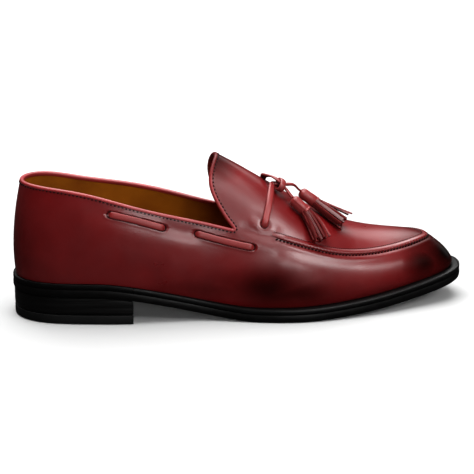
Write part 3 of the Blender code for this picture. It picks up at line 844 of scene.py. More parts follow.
# %% Press in the seam
girths = [np.interp(skin_u, np.linspace(0, 1, NET_SECTIONS), GIRTH[side]) for side in (-1, 1)]
girth = np.where(skin_side < 0, *girths)
from_seam = (skin_v - seam_v(skin_u)) * girth
seam_start, seam_full = float(around(0.560)), float(around(0.605))
in_seam = smoothstep(seam_start, seam_full, skin_u)
relief -= in_seam * 0.45 * MM * np.exp(-((from_seam / (0.9 * MM)) ** 2))
relief += in_seam * 0.30 * MM * np.exp(-(((from_seam + 3.0 * MM) / (1.8 * MM)) ** 2))
relief += in_seam * 0.15 * MM * smoothstep(0, 4 * MM, from_seam)
skin = skin + skin_out * relief[:, None]
print("relief from", round(relief.min() / MM, 2), "to", round(relief.max() / MM, 2), "mm")

# %% [markdown]
# The wax is thickest over the toe, round the seat of the ball and along the top of the flap. Round the ball
# and low on the wall the spots lie on the outer side only, and there they are also painted shade, for the
# dark band low on the wall. A painted texture could hold it, but soft spots with a place, a size and a
# strength are easier to move while looking at the photograph.

# %% Burnish and painted shade
# side or 0 for both, share of length, share of girth, reach along and up in mm, strength
BURNISH_AND_SHADE = (
    (0, 0.990, 0.230, 34, 22, 0.95),
    (0, 0.925, 0.190, 17, 12, 0.95),
    # the four outer-side spots below are wax and also painted shade for the dark band round the ball and low
    # on the wall
    (-1, 0.550, 0.150, 28, 13, 0.82),
    (-1, 0.450, 0.090, 60, 8, 0.38),
    (-1, 0.585, 0.110, 40, 9, 0.75),
    (-1, 0.500, 0.170, 30, 10, 0.45),
    (0, 0.445, 0.930, 16, 12, 0.80),
    (0, 0.500, 1.000, 20, 5, 0.35),
    (0, 0.000, 0.150, 30, 24, 0.55),
)
ACROSS_SHARE = 0.6
burnish = np.zeros(len(skin))
for side, share, v, reach_along, reach_up, strength in BURNISH_AND_SHADE:
    for one in ((-1, 1) if side == 0 else (side,)):
        middle = on_last(one, around(share), v)
        away = skin - middle
        along = away[:, 0] / (reach_along * MM)
        upward = np.hypot(away[:, 1] * ACROSS_SHARE, away[:, 2]) / (reach_up * MM)
        burnish = np.maximum(burnish, strength * np.exp(-(along**2) - upward**2))
print("burnish up to", round(burnish.max(), 2))

# %% [markdown]
# Calf is over a millimetre thick, and its cut edge shows at the collar. A Solidify modifier could give
# the thickness. Here the inner side has half as many rows and columns, because it is hidden, and the
# open edges are bridged by hand.

# %% Wall of the upper
LEATHER_THICK, LINING_FROM, LINING_TO = 1.15 * MM, 1.25 * MM, 2.0 * MM


def coarse_layer(offsets):
    """Every second point of the skin, moved in along its normal, and the numbers of those kept."""
    kept = np.unique(np.concatenate([i[::2, ::2].reshape(-1) for i in ids.values()]))
    place = np.full(len(skin), -1)
    place[kept] = np.arange(len(kept))
    smooth = skin - skin_out * relief[:, None]
    return [smooth[kept] - skin_out[kept] * offset for offset in offsets], place


def open_lines(grid_ids):
    """The skin's open edges as lines of point numbers: bottoms, toplines and flap edges."""
    rows_low = len(row_shares(QUARTER_ROW_STOPS)) - 1
    lines = []
    for (side, part), numbers in grid_ids.items():
        lines.append(numbers[:, 0])
        lines.append(numbers[:, -1] if part == "quarter" else numbers[0, rows_low:])
    return lines


(inner,), place = coarse_layer([LEATHER_THICK])
faces = skin_faces.tolist()
start = len(skin)
for key, numbers in ids.items():
    faces += (quads(place[numbers[::2, ::2]], key[0] > 0) + start).tolist()
for line in open_lines(ids):
    for k in range(0, len(line) - 2, 2):
        a, b, c = line[k:k + 3]
        i, j = start + place[a], start + place[c]
        faces += [(a, b, i), (b, c, j), (b, j, i)]
upper_shell = make_mesh("upper_shell", np.concatenate([skin, inner]), faces, calf_red,
                        ("upper",))
# the attribute carries the burnish and the painted shade low on the outer wall
marks = upper_shell.data.attributes.new("burnish", "FLOAT", "POINT")
marks.data.foreach_set("value", np.concatenate([burnish, np.zeros(len(inner))]).astype(np.float32))

# %% [markdown]
# The tan lining is a second, thinner wall inside the leather. It stands just clear of it, so that the
# two never share a surface, and needs only every second point of the skin.

# %% Lining
(outer_layer, inner_layer), place = coarse_layer([LINING_FROM, LINING_TO])
faces, start = [], len(outer_layer)
for key, numbers in ids.items():
    faces += quads(place[numbers[::2, ::2]], key[0] < 0).tolist()
    faces += (quads(place[numbers[::2, ::2]], key[0] > 0) + start).tolist()
for line in open_lines(ids):
    for a, b in zip(place[line[::2]][:-1], place[line[::2]][1:]):
        faces.append((a, b, b + start, a + start))
make_mesh("lining", np.concatenate([outer_layer, inner_layer]), faces, lining.material)

# %% [markdown]
# ## The sole
#
# Outsole, insole and heel are cut to one outline. A shape could be extruded and its edge bevelled, but
# a bevel bunches where the outline turns fast, at the toe. So a layer is a pile of rings, set in or out
# row by row to round its edge, and closed above and below by strips from side to side.

# %% Layers of one outline
SOLE_STEPS = 170


def loop_u(first=0.0, last=1.0, steps=SOLE_STEPS):
    return np.linspace(first, last, steps + 1)


def layer(name, u, offset, low, high, profile, material, replaced, bow=0.0):
    """A layer with a rounded edge. profile rows are (inset in mm, share of the height)."""
    closed_back = u[0] == 0
    rings = []
    for inset, rise in profile:
        sides = [edge(side, u, offset(u) - inset * MM) for side in (-1, 1)]
        if bow:
            for plan_points in sides:
                plan_points[-1, 0] -= inset * MM
        if closed_back:
            sides[1][0] = sides[0][0]
        if u[-1] == 1:
            sides[1][-1] = sides[0][-1]
        front = []
        if bow:
            t = np.linspace(0, 1, 14)[1:-1, None]
            front = sides[0][-1] * (1 - t) + sides[1][-1] * t
            front[:, 0] -= bow * 4 * t[:, 0] * (1 - t[:, 0])
        parts = [sides[0], front, sides[1][::-1]] if bow else [sides[0], sides[1][-2::-1]]
        ring = np.concatenate([p for p in parts if len(p)])
        if closed_back:
            ring = ring[:-1]
        share = ring[:, 0] / UPPER_LENGTH
        z = low(share) + (high(share) - low(share)) * rise
        rings.append(np.concatenate([ring, z[:, None]], axis=1) + SHIFT)
    sides = len(rings[0])
    faces = []
    for r in range(len(rings) - 1):
        near, far = r * sides, (r + 1) * sides
        for k in range(sides):
            faces.append((near + k, near + (k + 1) % sides, far + (k + 1) % sides, far + k))
    n = len(u)
    for base in (0, (len(rings) - 1) * sides):
        for k in range(n - 1):
            corners = [base + k, base + k + 1, base + (sides - k - 1) % sides, base + (sides - k) % sides]
            faces.append(tuple(dict.fromkeys(corners)))
        if bow:
            faces.append(tuple(base + k for k in range(n - 1, sides - n + 2)))
    faces = [f for f in faces if len(set(f)) > 2]
    return make_mesh(name, np.concatenate(rings), faces, material, replaced, 35)


def flat_height(value):
    return lambda share: np.zeros_like(share) + value


print("a layer has", 4 * SOLE_STEPS, "points a ring at most")

# %% [markdown]
# The outsole's edge is trimmed to a soft round and inked. Its underside is bare leather, so the faces
# that look down get a second material. The insole lies inside the upper and closes the shoe from below.

# %% Outsole and insole
# inset in mm, share of the thickness
SOLE_EDGE = (
    (2.4, 0.0), (0.7, 0.0), (0.22, 0.07), (0.0, 0.24), (-0.12, 0.5),
    (0.0, 0.78), (0.25, 0.95), (0.8, 1.0), (2.4, 1.0),
)
outsole_layer = layer("outsole_layer", loop_u(), stand, bottom, sole_top, SOLE_EDGE, edge_black.material,
                      ("outsole",))
outsole_layer.data.materials.append(sole_dark.material)
for face in outsole_layer.data.polygons:
    face.material_index = 1 if face.normal.z < -0.9 else 0
INSOLE_EDGE = ((0.8, 0.0), (0.0, 0.1), (0.0, 0.9), (0.5, 1.0))
layer("insole_board", loop_u(), lambda u: 0 * u - (WALL + GAP), lambda s: sole_top(s) + GAP,
      lambda s: sole_top(s) + GAP + INSOLE_THICK, INSOLE_EDGE, lining.material, ("insole",))
print("sole layers made")

# %% [markdown]
# The heel is a stack of leather lifts on a rubber top lift, cut off in front in a slightly hollow
# breast. It stands a little inside the sole's edge, as a trimmed heel does.

# %% Heel
HEEL_EDGE = (
    (1.4, 0.0), (0.5, 0.02), (0.08, 0.08), (0.0, 0.2),
    (0.0, 0.85), (0.15, 0.95), (0.7, 1.0), (1.6, 1.0),
)
to_breast = loop_u(0.0, float(around(BREAST)), 70)


def heel_edge(u):
    return stand(u) - HEEL_INSET


layer("top_lift_layer", to_breast, heel_edge, flat_height(0.0), flat_height(TOP_LIFT_THICK), HEEL_EDGE,
      rubber_black.material, ("top_lift",), bow=BREAST_BOW)
layer("heel_stack_layers", to_breast, heel_edge, flat_height(TOP_LIFT_THICK + GAP), lambda s: bottom(s) - GAP,
      HEEL_EDGE, stack_black.material, ("heel_stack",), bow=BREAST_BOW)

# %% [markdown]
# The welt is a strip of leather sewn round the front of the shoe, and the rand carries it on round the
# heel. One section is carried round the feather edge: it has a bevelled outer edge and a groove along
# the top, which catches the thin line of light.

# %% Welt and rand
# across the strip as a share of its width, share of its thickness
WELT_SECTION = (
    (0, 0.0), (0.93, 0.0), (0.99, 0.12), (1.0, 0.45), (0.985, 0.80), (0.94, 0.97), (0.86, 1.0),
    (0.80, 0.90), (0.74, 0.97), (0.42, 0.99), (0.22, 1.02), (0.16, 1.14), (0, 1.14),
)


def welt_strip(name, stations, replaced):
    rings = []
    for side, u in stations:
        inner_edge, outer_edge = edge(side, u, -WALL), edge(side, u, float(stand(u)))
        for across, rise in WELT_SECTION:
            p = inner_edge + (outer_edge - inner_edge) * across
            z = sole_top(p[0] / UPPER_LENGTH) + GAP + rise * WELT_THICK
            rings.append([p[0], p[1], float(z)])
    sides = len(WELT_SECTION)
    return make_mesh(name, np.array(rings) + SHIFT, tube_faces(len(stations), sides), edge_black.material,
                     replaced, 35)


forward = loop_u(float(around(BREAST + GAP / UPPER_LENGTH)), 1.0, 150)
welt_strip("welt_strip", [(-1, u) for u in forward] + [(1, u) for u in forward[-2::-1]], ("welt",))
rear = loop_u(0.0, float(around(BREAST)), 60)
welt_strip("rand_strip", [(-1, u) for u in rear[::-1]] + [(1, u) for u in rear[1:]], ("heel_rand",))

# %% [markdown]
# ## The topline binding
#
# A narrow strip of paler leather is folded over the cut edge, all round the collar and up the flap. Its
# line is the skin's own open edge, evenly spaced and softened so that it turns round the throat's
# corners, and its section wraps leather and lining. At the flap's peak it has taken some of the wax.

# %% Binding
rows_low = len(row_shares(QUARTER_ROW_STOPS)) - 1
edge_line = np.concatenate([
    ids[-1, "vamp"][0, :rows_low:-1], ids[-1, "quarter"][::-1, -1],
    ids[1, "quarter"][1:, -1], ids[1, "vamp"][0, rows_low + 1:-1],
])
plain_skin = skin - skin_out * relief[:, None]
rim = resample(plain_skin[edge_line], 0.8 * MM, True, (skin_out[edge_line],))
rim = softened(rim, 14, True)
rim_points, rim_out = rim[:, :3], unit(rim[:, 3:])
rim_ahead = directions(rim_points, True)
rim_away = unit(np.cross(rim_ahead, rim_out))
heel_station = np.argmin(rim_points[:, 0])
if rim_away[heel_station, 2] < 0:
    rim_away = -rim_away
# out of the leather and away past its edge, in mm
BINDING_SECTION = (
    (0.0, -1.35), (0.34, -1.20), (0.50, -0.80), (0.50, -0.30), (0.34, 0.20), (0.0, 0.55), (-0.6, 0.75),
    (-1.3, 0.75), (-1.9, 0.50), (-2.25, 0.05), (-2.35, -0.8), (-2.25, -1.6), (-2.0, -2.0), (-1.0, -1.8),
)
rings = [rim_points + rim_out * out * MM + rim_away * away * MM for out, away in BINDING_SECTION]
rings = np.stack(rings, axis=1).reshape(-1, 3)
binding = make_mesh("topline_binding", rings, tube_faces(len(rim_points), len(BINDING_SECTION), True),
                    binding_red)
peak_wax = 0.66 * smoothstep(0.084, 0.101, rings[:, 2])
wax_marks = binding.data.attributes.new("burnish", "FLOAT", "POINT")
wax_marks.data.foreach_set("value", peak_wax.astype(np.float32))
print("binding waxed up to", round(peak_wax.max(), 2))

# %% [markdown]
# ## Stitches
#
# A stitch is a short thread that dips into the leather at both ends. A dashed line in the colour would
# be cheaper, but it casts no shadow and has no height in a low light. So each stitch is a small capsule
# with a little arch.

# %% Stitches along a line
STITCH_SIDES, STITCH_RINGS = 6, 5


def stitch_row(name, points, outs, pitch, length, thick, material, closed=False, slant=0.0):
    """Stitches along a line: pitch, length and thread thickness in mm; slant turns each across the line."""
    line = resample(points, pitch * MM, closed, (outs,))
    where, out = line[:, :3], unit(line[:, 3:])
    ahead = directions(where, closed)
    across = np.cross(out, ahead)
    along = unit(ahead * math.cos(slant) + across * math.sin(slant))
    sides, steps = STITCH_SIDES, STITCH_RINGS
    made, faces = [], []
    for k in range(len(where)):
        t = np.linspace(-1, 1, steps)
        spine = where[k] + along[k] * (t * length / 2 * MM)[:, None]
        spine = spine + out[k] * ((thick * 0.45 - thick * 0.8 * t**2) * MM)[:, None]
        turn = 2 * math.pi * np.arange(sides) / sides
        radius = thick / 2 * MM * np.sqrt(np.maximum(1 - 0.75 * t**4, 0.1))
        cross_way = np.cross(along[k], out[k])
        circle = np.cos(turn)[:, None] * cross_way + np.sin(turn)[:, None] * out[k]
        ring = spine[:, None] + circle[None] * radius[:, None, None]
        faces += tube_faces(steps, sides, start=len(made) * steps * sides)
        made.append(ring.reshape(-1, 3))
    return make_mesh(name, np.concatenate(made), faces, material)


print("a stitch has", STITCH_RINGS, "rings of", STITCH_SIDES, "points")

# %% [markdown]
# One row of stitches holds the binding. It runs a little in from the edge, with gaps wide enough for
# the dashes to be told apart at the photograph's distance.

# %% Topline stitches
inset_line = rim_points - rim_away * 1.85 * MM
stitch_row("topline_stitches", inset_line, rim_out, 2.45, 1.60, 0.76, thread_dark.material,
           True, 0.15)

# %% [markdown]
# ## The moccasin seam
#
# On the real shoe the apron is joined to the wall by hand: the leather is pinched into a smooth roll,
# gathered on its outer side by slanted stitches, with one fine line of stitches on its inner side.
# Pressing the roll out of the skin would need a far denser mesh, so it is a swept strip of its own,
# with an edge that pulls in at every stitch.

# %% Seam
SEAM_PITCH = 2.45
seam_u = np.concatenate([np.linspace(around(0.560), 1, 500), np.linspace(1, around(0.560), 500)[1:]])
seam_side = np.where(np.arange(len(seam_u)) < 500, -1, 1)
seam_points, seam_out = np.empty((len(seam_u), 3)), np.empty((len(seam_u), 3))
for side in (-1, 1):
    here = seam_side == side
    seam_points[here] = on_last(side, seam_u[here], seam_v(seam_u[here]))
    seam_out[here] = leather_out(side, seam_u[here], seam_v(seam_u[here]))
seam = softened(resample(seam_points, 0.35 * MM, False, (seam_out,)), 3)
seam_points, seam_out = seam[:, :3], unit(seam[:, 3:])
run = np.arange(len(seam_points)) * 0.35
fade = smoothstep(0, 9, run) * smoothstep(0, 9, run[::-1])
ROLL_WIDTH = 4.3
# inwards from the outer line and height over the leather, in mm
ROLL_SECTION = (
    (0.15, -0.5), (0.12, 0.05), (0.30, 0.55), (0.75, 0.95), (1.4, 1.10), (2.2, 0.98), (3.0, 0.72),
    (3.7, 0.42), (4.1, 0.16), (4.3, -0.15), (4.2, -0.5), (2.0, -0.6),
)
ahead = directions(seam_points)
inwards = np.cross(seam_out, ahead)
if inwards[len(inwards) // 4, 2] < 0:
    inwards = -inwards
pull = 0.5 + 0.5 * np.cos(2 * math.pi * run / SEAM_PITCH)
rings = []
for way, height in ROLL_SECTION:
    outer = np.clip(1 - way / 1.6, 0, 1)
    reach = 2.2 + (way - 2.2) * (0.35 + 0.65 * fade) + 0.34 * pull * outer * fade
    tall = np.where(height > 0, height * (0.12 + 0.88 * fade) * (1 - 0.42 * pull * outer), height)
    rings.append(seam_points + inwards * (reach * MM)[:, None] + seam_out * (tall * MM)[:, None])
rings = np.stack(rings, axis=1).reshape(-1, 3)
make_mesh("moccasin_roll", rings, tube_faces(len(seam_points), len(ROLL_SECTION)), calf_red)
drop = seam_points + seam_out * 0.05 * MM + inwards * 0.05 * MM
stitch_row("moccasin_stitches", drop[12:-12], seam_out[12:-12], SEAM_PITCH, 2.2, 0.95, thread_dark.material,
           False, 0.62)
fine = seam_points + inwards * (ROLL_WIDTH + 0.1) * MM + seam_out * 0.1 * MM
stitch_row("apron_stitches", fine[4:-4], seam_out[4:-4], 1.55, 1.25, 0.32, thread_dark.material)

# %% [markdown]
# ## Laces
#
# One flat calf lace runs round the collar through slots in the quarters, comes out of a slot on each
# side of the vamp, and is knotted over the instep. Where it shows on the sides it lies in a shallow
# trough. A short strip for each bar is enough: its ends dip under the leather, narrower and thinner,
# and stop inside the wall.

# %% Lace bars
LACE_WIDTH, LACE_THICK = 4.2, 1.4
# shares of the half width, shares of the thickness
LACE_SECTION = ((-1.0, 0.25), (-0.98, 0.6), (-0.86, 0.86), (-0.5, 0.98), (0, 1.02), (0.5, 0.98), (0.86, 0.86),
                (0.98, 0.6), (1.0, 0.25), (0.9, 0.0), (0, -0.02), (-0.9, 0.0))
BAR_OVERRUN, BAR_DIP = 0.030, 1.15
flat_lace = [(w * LACE_WIDTH / 2 * MM, t * LACE_THICK * MM) for w, t in LACE_SECTION]


def lace_bar(name, side, ends, replaced):
    start, stop = np.array(ends[0]), np.array(ends[1])
    t = np.linspace(-BAR_OVERRUN, 1 + BAR_OVERRUN, 60)
    places = start + (stop - start) * t[:, None]
    u = around(places[:, 0])
    points, outs = on_last(side, u, places[:, 1]), leather_out(side, u, places[:, 1])
    run = np.concatenate([[0], np.cumsum(np.linalg.norm(np.diff(points, axis=0), axis=1))])
    to_end = np.minimum(run, run[-1] - run)
    dip = -BAR_DIP * MM * (1 - smoothstep(0, 3.0 * MM, to_end))
    points = points + outs * (dip - 0.30 * MM)[:, None]
    narrow = 0.80 + 0.20 * smoothstep(0, 2.5 * MM, to_end)
    scale = np.stack([narrow, 0.5 + 0.5 * smoothstep(0, 2.5 * MM, to_end)], axis=1)
    rings = swept(points, outs, flat_lace, scale=scale)
    return make_mesh(name, rings, tube_faces(len(points), len(flat_lace)), lace_red, replaced)


print("lace", LACE_WIDTH, "mm wide and", LACE_THICK, "mm thick")

# %% [markdown]
# The slot round each bar is a shallow recess in shade, and shows as a thin dark line round the bar. That line
# is painted shade: a darker colour on the skin would need a very dense mesh to be sharp, so the line is a
# very thin dark cord, laid on the skin itself.

# %% Painted shade lines round the slots
def slot_shade_line(name, side, ends, radius=2.22 * MM):
    """Painted shade in the slot round a bar: a thin dark cord laid in the trough's rim."""
    start, stop = (on_last(side, around(e[0]), e[1]) for e in ends)
    middle = (np.array(ends[0]) + np.array(ends[1])) / 2
    out = leather_out(side, around(middle[0]), middle[1])
    across = np.cross(out, unit(stop - start))
    round_end = np.linspace(0, math.pi, 12)
    line = []
    path = line_on_last(side, ends, 40)
    for sign, track in ((1, path), (-1, path[::-1])):
        line += [p + across * radius * sign for p in track[2:-2]]
        tip = track[-1] - unit(track[-1] - track[-2]) * radius * 0.2
        onward = unit(track[-1] - track[-2])
        for a in round_end[1:-1]:
            line.append(tip + across * radius * sign * math.cos(a) + onward * radius * math.sin(a))
    points = resample(np.array(line), 0.5 * MM, True)
    outs = np.repeat(out[None], len(points), axis=0)
    found = [np.argmin(np.linalg.norm(skin - p, axis=1)) for p in points]
    lift = np.sum((skin[found] - points) * skin_out[found], axis=1)
    points = softened(points + skin_out[found] * lift[:, None], 2, True)
    turn = 2 * math.pi * np.arange(6) / 6
    section = [(0.28 * MM * math.cos(a), 0.24 * MM * math.sin(a)) for a in turn]
    rings = swept(points, outs, section, True)
    return make_mesh(name, rings, tube_faces(len(points), 6, True), thread_dark.material)


# each bar's slot and the strap's slot get a painted shade line
for side, word in ((-1, "lateral"), (1, "medial")):
    for number, ends in enumerate(BARS, 1):
        lace_bar(f"bar_{word}_{number}", side, ends, (f"lace_{word}_{number}",))
        slot_shade_line(f"slot_{word}_{number}", side, ends)
    slot_shade_line(f"slot_{word}_strap", side, ((0.5485, 0.560), (0.5498, 0.572)), 2.3 * MM)

# %% [markdown]
# The two ends of the lace are free cords. The lateral one rises from its slot over the vamp, goes under the
# knot's wrap and out to the front tassel. The medial one comes over the ridge in a small arch, through the
# wrap, and out to the back tassel. A simulation could drop them, but a lace that is pulled tight doesn't
# hang, so each is one strip along a smooth curve through listed places: side, share of the length, share of
# the girth, height over the leather in mm.

# %% Lace ends
LATERAL_END = (
    (-1, 0.5480, 0.555, -1.6), (-1, 0.5500, 0.572, 0.1), (-1, 0.5570, 0.630, 0.45), (-1, 0.5650, 0.687, 0.45),
    (-1, 0.5760, 0.770, 0.45), (-1, 0.5850, 0.830, 0.55), (-1, 0.5920, 0.880, 1.2), (-1, 0.5990, 0.912, 2.4),
    (-1, 0.6080, 0.905, 4.2), (-1, 0.6150, 0.880, 5.2), (-1, 0.6205, 0.850, 5.4), (-1, 0.6250, 0.822, 5.3),
    (-1, 0.6300, 0.800, 5.1),
)
MEDIAL_END = (
    (1, 0.5480, 0.555, -1.6), (1, 0.5500, 0.572, 0.1), (1, 0.5570, 0.630, 0.45), (1, 0.5650, 0.687, 0.45),
    (1, 0.5770, 0.790, 0.45), (1, 0.5850, 0.900, 0.8), (-1, 0.5880, 0.990, 2.6), (-1, 0.5930, 0.945, 4.9),
    (-1, 0.6010, 0.905, 6.3), (-1, 0.6120, 0.893, 6.4), (-1, 0.6260, 0.905, 6.6), (-1, 0.6420, 0.925, 7.6),
    (-1, 0.6580, 0.945, 7.4), (-1, 0.6720, 0.958, 6.4), (-1, 0.6830, 0.970, 5.9),
)


def lace_end(name, route, replaced):
    """A free end of the lace, with the points of its line and its length."""
    where = np.array([above_last(s, a, v, h * MM) for s, a, v, h in route])
    out = np.array([leather_out(s, around(a), min(v, 0.99)) for s, a, v, _ in route])
    run = np.concatenate([[0], np.cumsum(np.linalg.norm(np.diff(where, axis=0), axis=1))])
    at = np.linspace(0, run[-1], 90)
    points = np.stack([spline(run, where[:, k], at) for k in range(3)], axis=1)
    outs = unit(np.stack([spline(run, out[:, k], at) for k in range(3)], axis=1))
    scale = np.ones((len(at), 2))
    scale[:, 0] = 1 - 0.42 * smoothstep(run[-1] * 0.70, run[-1] * 0.80, at)
    rings = swept(points, outs, flat_lace, scale=scale)
    made = make_mesh(name, rings, tube_faces(len(points), len(flat_lace)), lace_red, replaced)
    length = float(np.sum(np.linalg.norm(np.diff(points, axis=0), axis=1)))
    print(name, "is", round(length / MM, 1), "mm long")
    return made, points, length


lateral_end, lateral_path, lateral_length = lace_end(
    "lace_end_lateral", LATERAL_END, ("vamp_strap", "front_tie"))
medial_end, medial_path, medial_length = lace_end("lace_end_medial", MEDIAL_END, ("back_tie",))

# %% [markdown]
# ## The knot
#
# The wrap is the lace turned once round both ends: a flat ring, wider than it is deep. The turns inside
# a knot can't be seen, so one ring on the place of the frame's own knot is enough.

# %% Knot
KNOT_PLACE = (0.603, 0.890, 5.4)
KNOT_WIDE, KNOT_DEEP = 4.1, 2.6
knot_u = around(KNOT_PLACE[0])
knot_at = above_last(-1, KNOT_PLACE[0], KNOT_PLACE[1], KNOT_PLACE[2] * MM)
knot_up = leather_out(-1, knot_u, KNOT_PLACE[1])
knot_ahead = on_last(-1, knot_u + 0.01, KNOT_PLACE[1]) - on_last(-1, knot_u, KNOT_PLACE[1])
knot_ahead = unit(knot_ahead - knot_up * np.dot(knot_ahead, knot_up))
knot_across = np.cross(knot_up, knot_ahead)
turn = 2 * math.pi * np.arange(44) / 44
ring_line = knot_at + knot_ahead * 0.0016 + knot_across * (KNOT_WIDE * MM * np.cos(turn))[:, None]
ring_line = ring_line + knot_up * (KNOT_DEEP * MM * np.sin(turn))[:, None]
ring_out = unit(knot_across * np.cos(turn)[:, None] * KNOT_DEEP + knot_up * np.sin(turn)[:, None] * KNOT_WIDE)
knot_wrap = make_mesh("knot_wrap", swept(ring_line, ring_out, flat_lace, True),
                      tube_faces(len(turn), len(flat_lace), True), lace_red, ("knot",))

# %% [markdown]
# ## The tassels
#
# A tassel is a strip of calf cut into a comb and rolled up: the uncut part is the head, with the end of
# the roll showing as a seam, and the teeth are the fringe. The head is a turned shape whose radius
# grows a little once round, so that the seam is a real step.

# %% Tassel heads
HEAD_RADIUS = 3.7
FRONT_TASSEL = ((0.632, 0.791, 5.0), (0.662, 0.720, 4.6), (0.681, 0.511, 4.3))
BACK_TASSEL = ((0.689, 0.973, 5.8), (0.732, 0.938, 5.0), (0.778, 0.733, 4.3))
# share of the head's length, share of its radius
HEAD_SHAPE = ((-0.06, 0.20), (-0.05, 0.55), (0.0, 0.80), (0.05, 0.93), (0.14, 0.99), (0.5, 1.0), (0.84, 1.03),
              (0.875, 0.97), (0.90, 1.0), (0.93, 1.06), (0.985, 1.05), (1.0, 0.96), (0.99, 0.70))


def tassel_axes(places):
    start, neck, tip = (above_last(-1, a, v, h * MM) for a, v, h in places)
    out = leather_out(-1, around(places[1][0]), places[1][1])
    return start, neck, tip, out


def tassel_head(name, places, seam_turn, replaced):
    start, neck, _, out = tassel_axes(places)
    along = unit(neck - start)
    across = unit(np.cross(out, along))
    up = np.cross(along, across)
    sides = 48
    rings = []
    for t, r in HEAD_SHAPE:
        turn = 2 * math.pi * np.arange(sides) / sides
        wound = 1 + 0.09 * (turn / (2 * math.pi)) - 0.045
        radius = HEAD_RADIUS * MM * r * wound
        a = turn + seam_turn
        ring = start + (neck - start) * t + across * (radius * np.cos(a))[:, None]
        rings.append(ring + up * (radius * np.sin(a))[:, None])
    return make_mesh(name, np.concatenate(rings), tube_faces(len(rings), sides), lace_red,
                     replaced, 60)


print("a head is", 2 * HEAD_RADIUS, "mm thick")

# %% [markdown]
# The strips come out of the head's mouth in two rings. Copies set out evenly would look like a brush, so each
# strip gets its own length, fan and bend from a random draw, seeded so that every run is the same. The cut
# edges are in the lace's paler red, as raw edges are paler, and this also paints the highlights along the
# strips' sides.

# %% Fringes
FRINGE_WIDTH, FRINGE_DEPTH, OUTER_SHARE = 13.0, 7.4, 0.62


def fringe(name, places, strips, seed, loose, replaced):
    """Strips from the head's mouth: two rings of them, fanned, with any loose ones lifted."""
    start, neck, tip, out = tassel_axes(places)
    along, hang = unit(neck - start), unit(tip - neck)
    across = unit(np.cross(out, hang))
    up = np.cross(hang, across)
    length = np.linalg.norm(tip - neck)
    draw = np.random.default_rng(seed)
    made, faces = [], []
    box = [(-1.0, -0.5), (-0.9, 0.42), (0, 0.56), (0.9, 0.42), (1.0, -0.5), (0, -0.42)]
    outer_count = math.ceil(strips * OUTER_SHARE)
    for k in range(strips):
        outer = k < outer_count
        count = outer_count if outer else strips - outer_count
        number = k if outer else k - outer_count + 0.5
        angle = 2 * math.pi * number / count + draw.uniform(-0.12, 0.12)
        ring = (0.74 if outer else 0.36) * HEAD_RADIUS * MM
        fan = (1.08 if outer else 0.50) * draw.uniform(0.88, 1.08)
        way = length * draw.uniform(0.90, 1.06)
        lift = loose.get(k, 0.0)
        t = np.linspace(0, 1, 16)
        spread = ring + (0.5 * FRINGE_WIDTH * MM * fan - ring) * (t**0.8)
        spread_up = ring + (0.5 * FRINGE_DEPTH * MM * fan - ring) * (t**0.8)
        t_, end = t[:, None], neck + hang * way
        inside, bend_at = neck - along * 2.2 * MM, neck + along * way * 0.22
        line = inside * (1 - t_) ** 2 + bend_at * 2 * t_ * (1 - t_) + end * t_**2
        line = line + across * (spread * math.cos(angle))[:, None]
        line = line + up * (spread_up * math.sin(angle) + lift * MM * t**2)[:, None]
        bend = draw.uniform(-0.5, 0.5)
        line = line + across * (bend * MM * np.sin(math.pi * t))[:, None]
        outs = across * math.cos(angle) + up * math.sin(angle)
        section = [(w * 0.86 * MM, d * 0.95 * MM) for w, d in box]
        rings = swept(line, np.repeat(outs[None], len(t), axis=0), section)
        faces += tube_faces(len(t), len(box), start=sum(len(m) for m in made))
        made.append(rings)
    teeth = make_mesh(name, np.concatenate(made), faces, fringe_red, replaced, 40)
    # the strips' cut sides get the paler lace red: raw edges, and also a painted highlight along each strip
    teeth.data.materials.append(lace_red)
    in_strip = len(faces) // strips
    for face in teeth.data.polygons:
        cut_edge_and_highlight = face.index % in_strip < 15 * len(box) and face.index % in_strip % len(box) in (0, 3)
        face.material_index = 1 if cut_edge_and_highlight else 0
    return teeth


front_head = tassel_head("tassel_head_front", FRONT_TASSEL, 2.6, ("front_tassel_head",))
front_fringe = fringe("tassel_fringe_front", FRONT_TASSEL, 21, 5, {}, ("front_tassel_fringe",))
back_head = tassel_head("tassel_head_back", BACK_TASSEL, 2.2, ("back_tassel_head",))
back_fringe = fringe("tassel_fringe_back", BACK_TASSEL, 21, 8, {2: 3.0, 3: 4.6}, ("back_tassel_fringe",))

# %% [markdown]
# Both ends of the lace can move on a real shoe, with what hangs on them: the front tassel on the lateral end,
# and the wrap and the back tassel on the medial one.

print("cords declared:", lateral_end.name, "and", medial_end.name)

# %% [markdown]
# ## Floor and light
#
# The photograph's floor is plain and nearly white. Under strong boxes a white floor burns out close to
# the shoe and takes its shadow along, so this one is a darker grey near the shoe, and glows a little
# far out, where the boxes don't reach. It is kept out of reflections, because it would mirror itself as
# a pale haze low on the wall.

# %% Floor
NEAR_GREY, FAR_GREY = (0.29, 0.29, 0.29), (0.55, 0.55, 0.55)
floor_finish = Finish("floor_finish", (0.30, 0.30, 0.30), 0.70, specular_ior_level=0.1)
floor_finish.shader.inputs["Emission Color"].default_value = (1, 1, 1, 1)
spot = floor_finish.add("ShaderNodeVectorMath", operation="LENGTH")
floor_finish.link(floor_finish.place, spot, "Vector")
far_glow = floor_finish.ramp(spot.outputs["Value"], 0.60, 1.50, 0.03, 0.90)
floor_finish.link(far_glow, floor_finish.shader, "Emission Strength")
far_out = floor_finish.ramp(spot.outputs["Value"], 0.25, 0.95)
floor_finish.paint(floor_finish.mix(far_out, NEAR_GREY, FAR_GREY))
floor_finish.rough(floor_finish.ramp(floor_finish.noise(4, 2), 0.3, 0.7, 0.66, 0.74))
floor_mesh = bpy.data.meshes.new("floor")
floor_mesh.from_pydata([(-4, -3, 0), (4, -3, 0), (4, 5, 0), (-4, 5, 0)], [], [(0, 1, 2, 3)])
floor_mesh.materials.append(floor_finish.material)
floor = bpy.data.objects.new("floor", floor_mesh)
floor.location.z = -0.0002
bpy.context.scene.collection.objects.link(floor)
floor.visible_glossy = False


print("floor laid at", round(floor.location.z, 4))

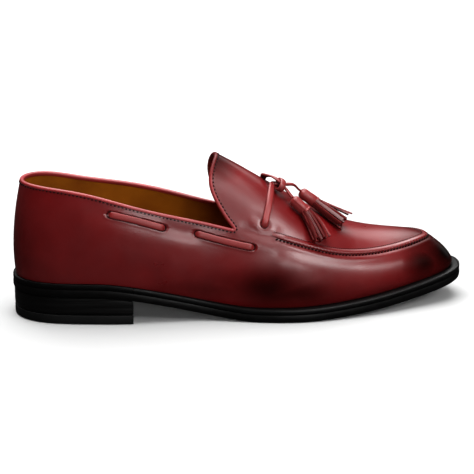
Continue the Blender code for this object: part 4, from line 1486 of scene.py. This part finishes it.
# %% [markdown]
# Glossy leather shows every lamp, so a studio uses soft boxes and places them by their highlights. A
# large one overhead lights floor and flap, three on the camera's side draw the streaks along ball, wall
# and apron, and two weak ones behind and beside the toe keep the other sides from going flat.

# %% Light boxes
def soft_box(name, place, target, size, power):
    light = bpy.data.lights.new(name, "AREA")
    light.shape = "RECTANGLE"
    light.size, light.size_y = size
    light.energy = power
    made = bpy.data.objects.new(name, light)
    made.location = place
    made.rotation_euler = (Vector(target) - Vector(place)).to_track_quat("-Z", "Y").to_euler()
    bpy.context.scene.collection.objects.link(made)
    return made


# name, place, target, size, power in watts
BOXES = (
    ("overhead_panel", (-0.05, 0.28, 1.20), (-0.05, 0.28, 0), (1.35, 1.7), 62),
    ("toe_front_box", (0.67, -0.75, 0.69), (0, 0, 0.04), (0.55, 0.24), 7.5),
    ("low_front_box", (0.24, -1.14, 0.34), (0, 0, 0.04), (0.60, 0.20), 4.2),
    ("high_front_box", (0.13, -0.91, 0.81), (0, 0, 0.04), (0.60, 0.20), 1.8),
    ("rear_panel", (0.10, 0.95, 0.95), (0, 0, 0.03), (1.7, 0.7), 8),
    ("toe_side", (0.88, 0.62, 0.28), (0.1, 0, 0.03), (0.4, 0.3), 0.25),
)
for box in BOXES:
    soft_box(*box)
print("light boxes:", len(BOXES))

# %% [markdown]
# A faint surround keeps the shadows from going black. The Standard view with more contrast gives deep
# reds on a white ground; the softer view that Blender starts with would grey both.

# %% Surround and view
world = bpy.data.worlds.new("surround")
world.use_nodes = True
world.node_tree.nodes["Background"].inputs["Color"].default_value = (1, 1, 1, 1)
world.node_tree.nodes["Background"].inputs["Strength"].default_value = 0.04
bpy.context.scene.world = world
bpy.context.scene.view_settings.view_transform = "Standard"
bpy.context.scene.view_settings.look = "Medium High Contrast"
print("surround", world.node_tree.nodes["Background"].inputs["Strength"].default_value)

# %% [markdown] ## Close

# %% Close
print("done")
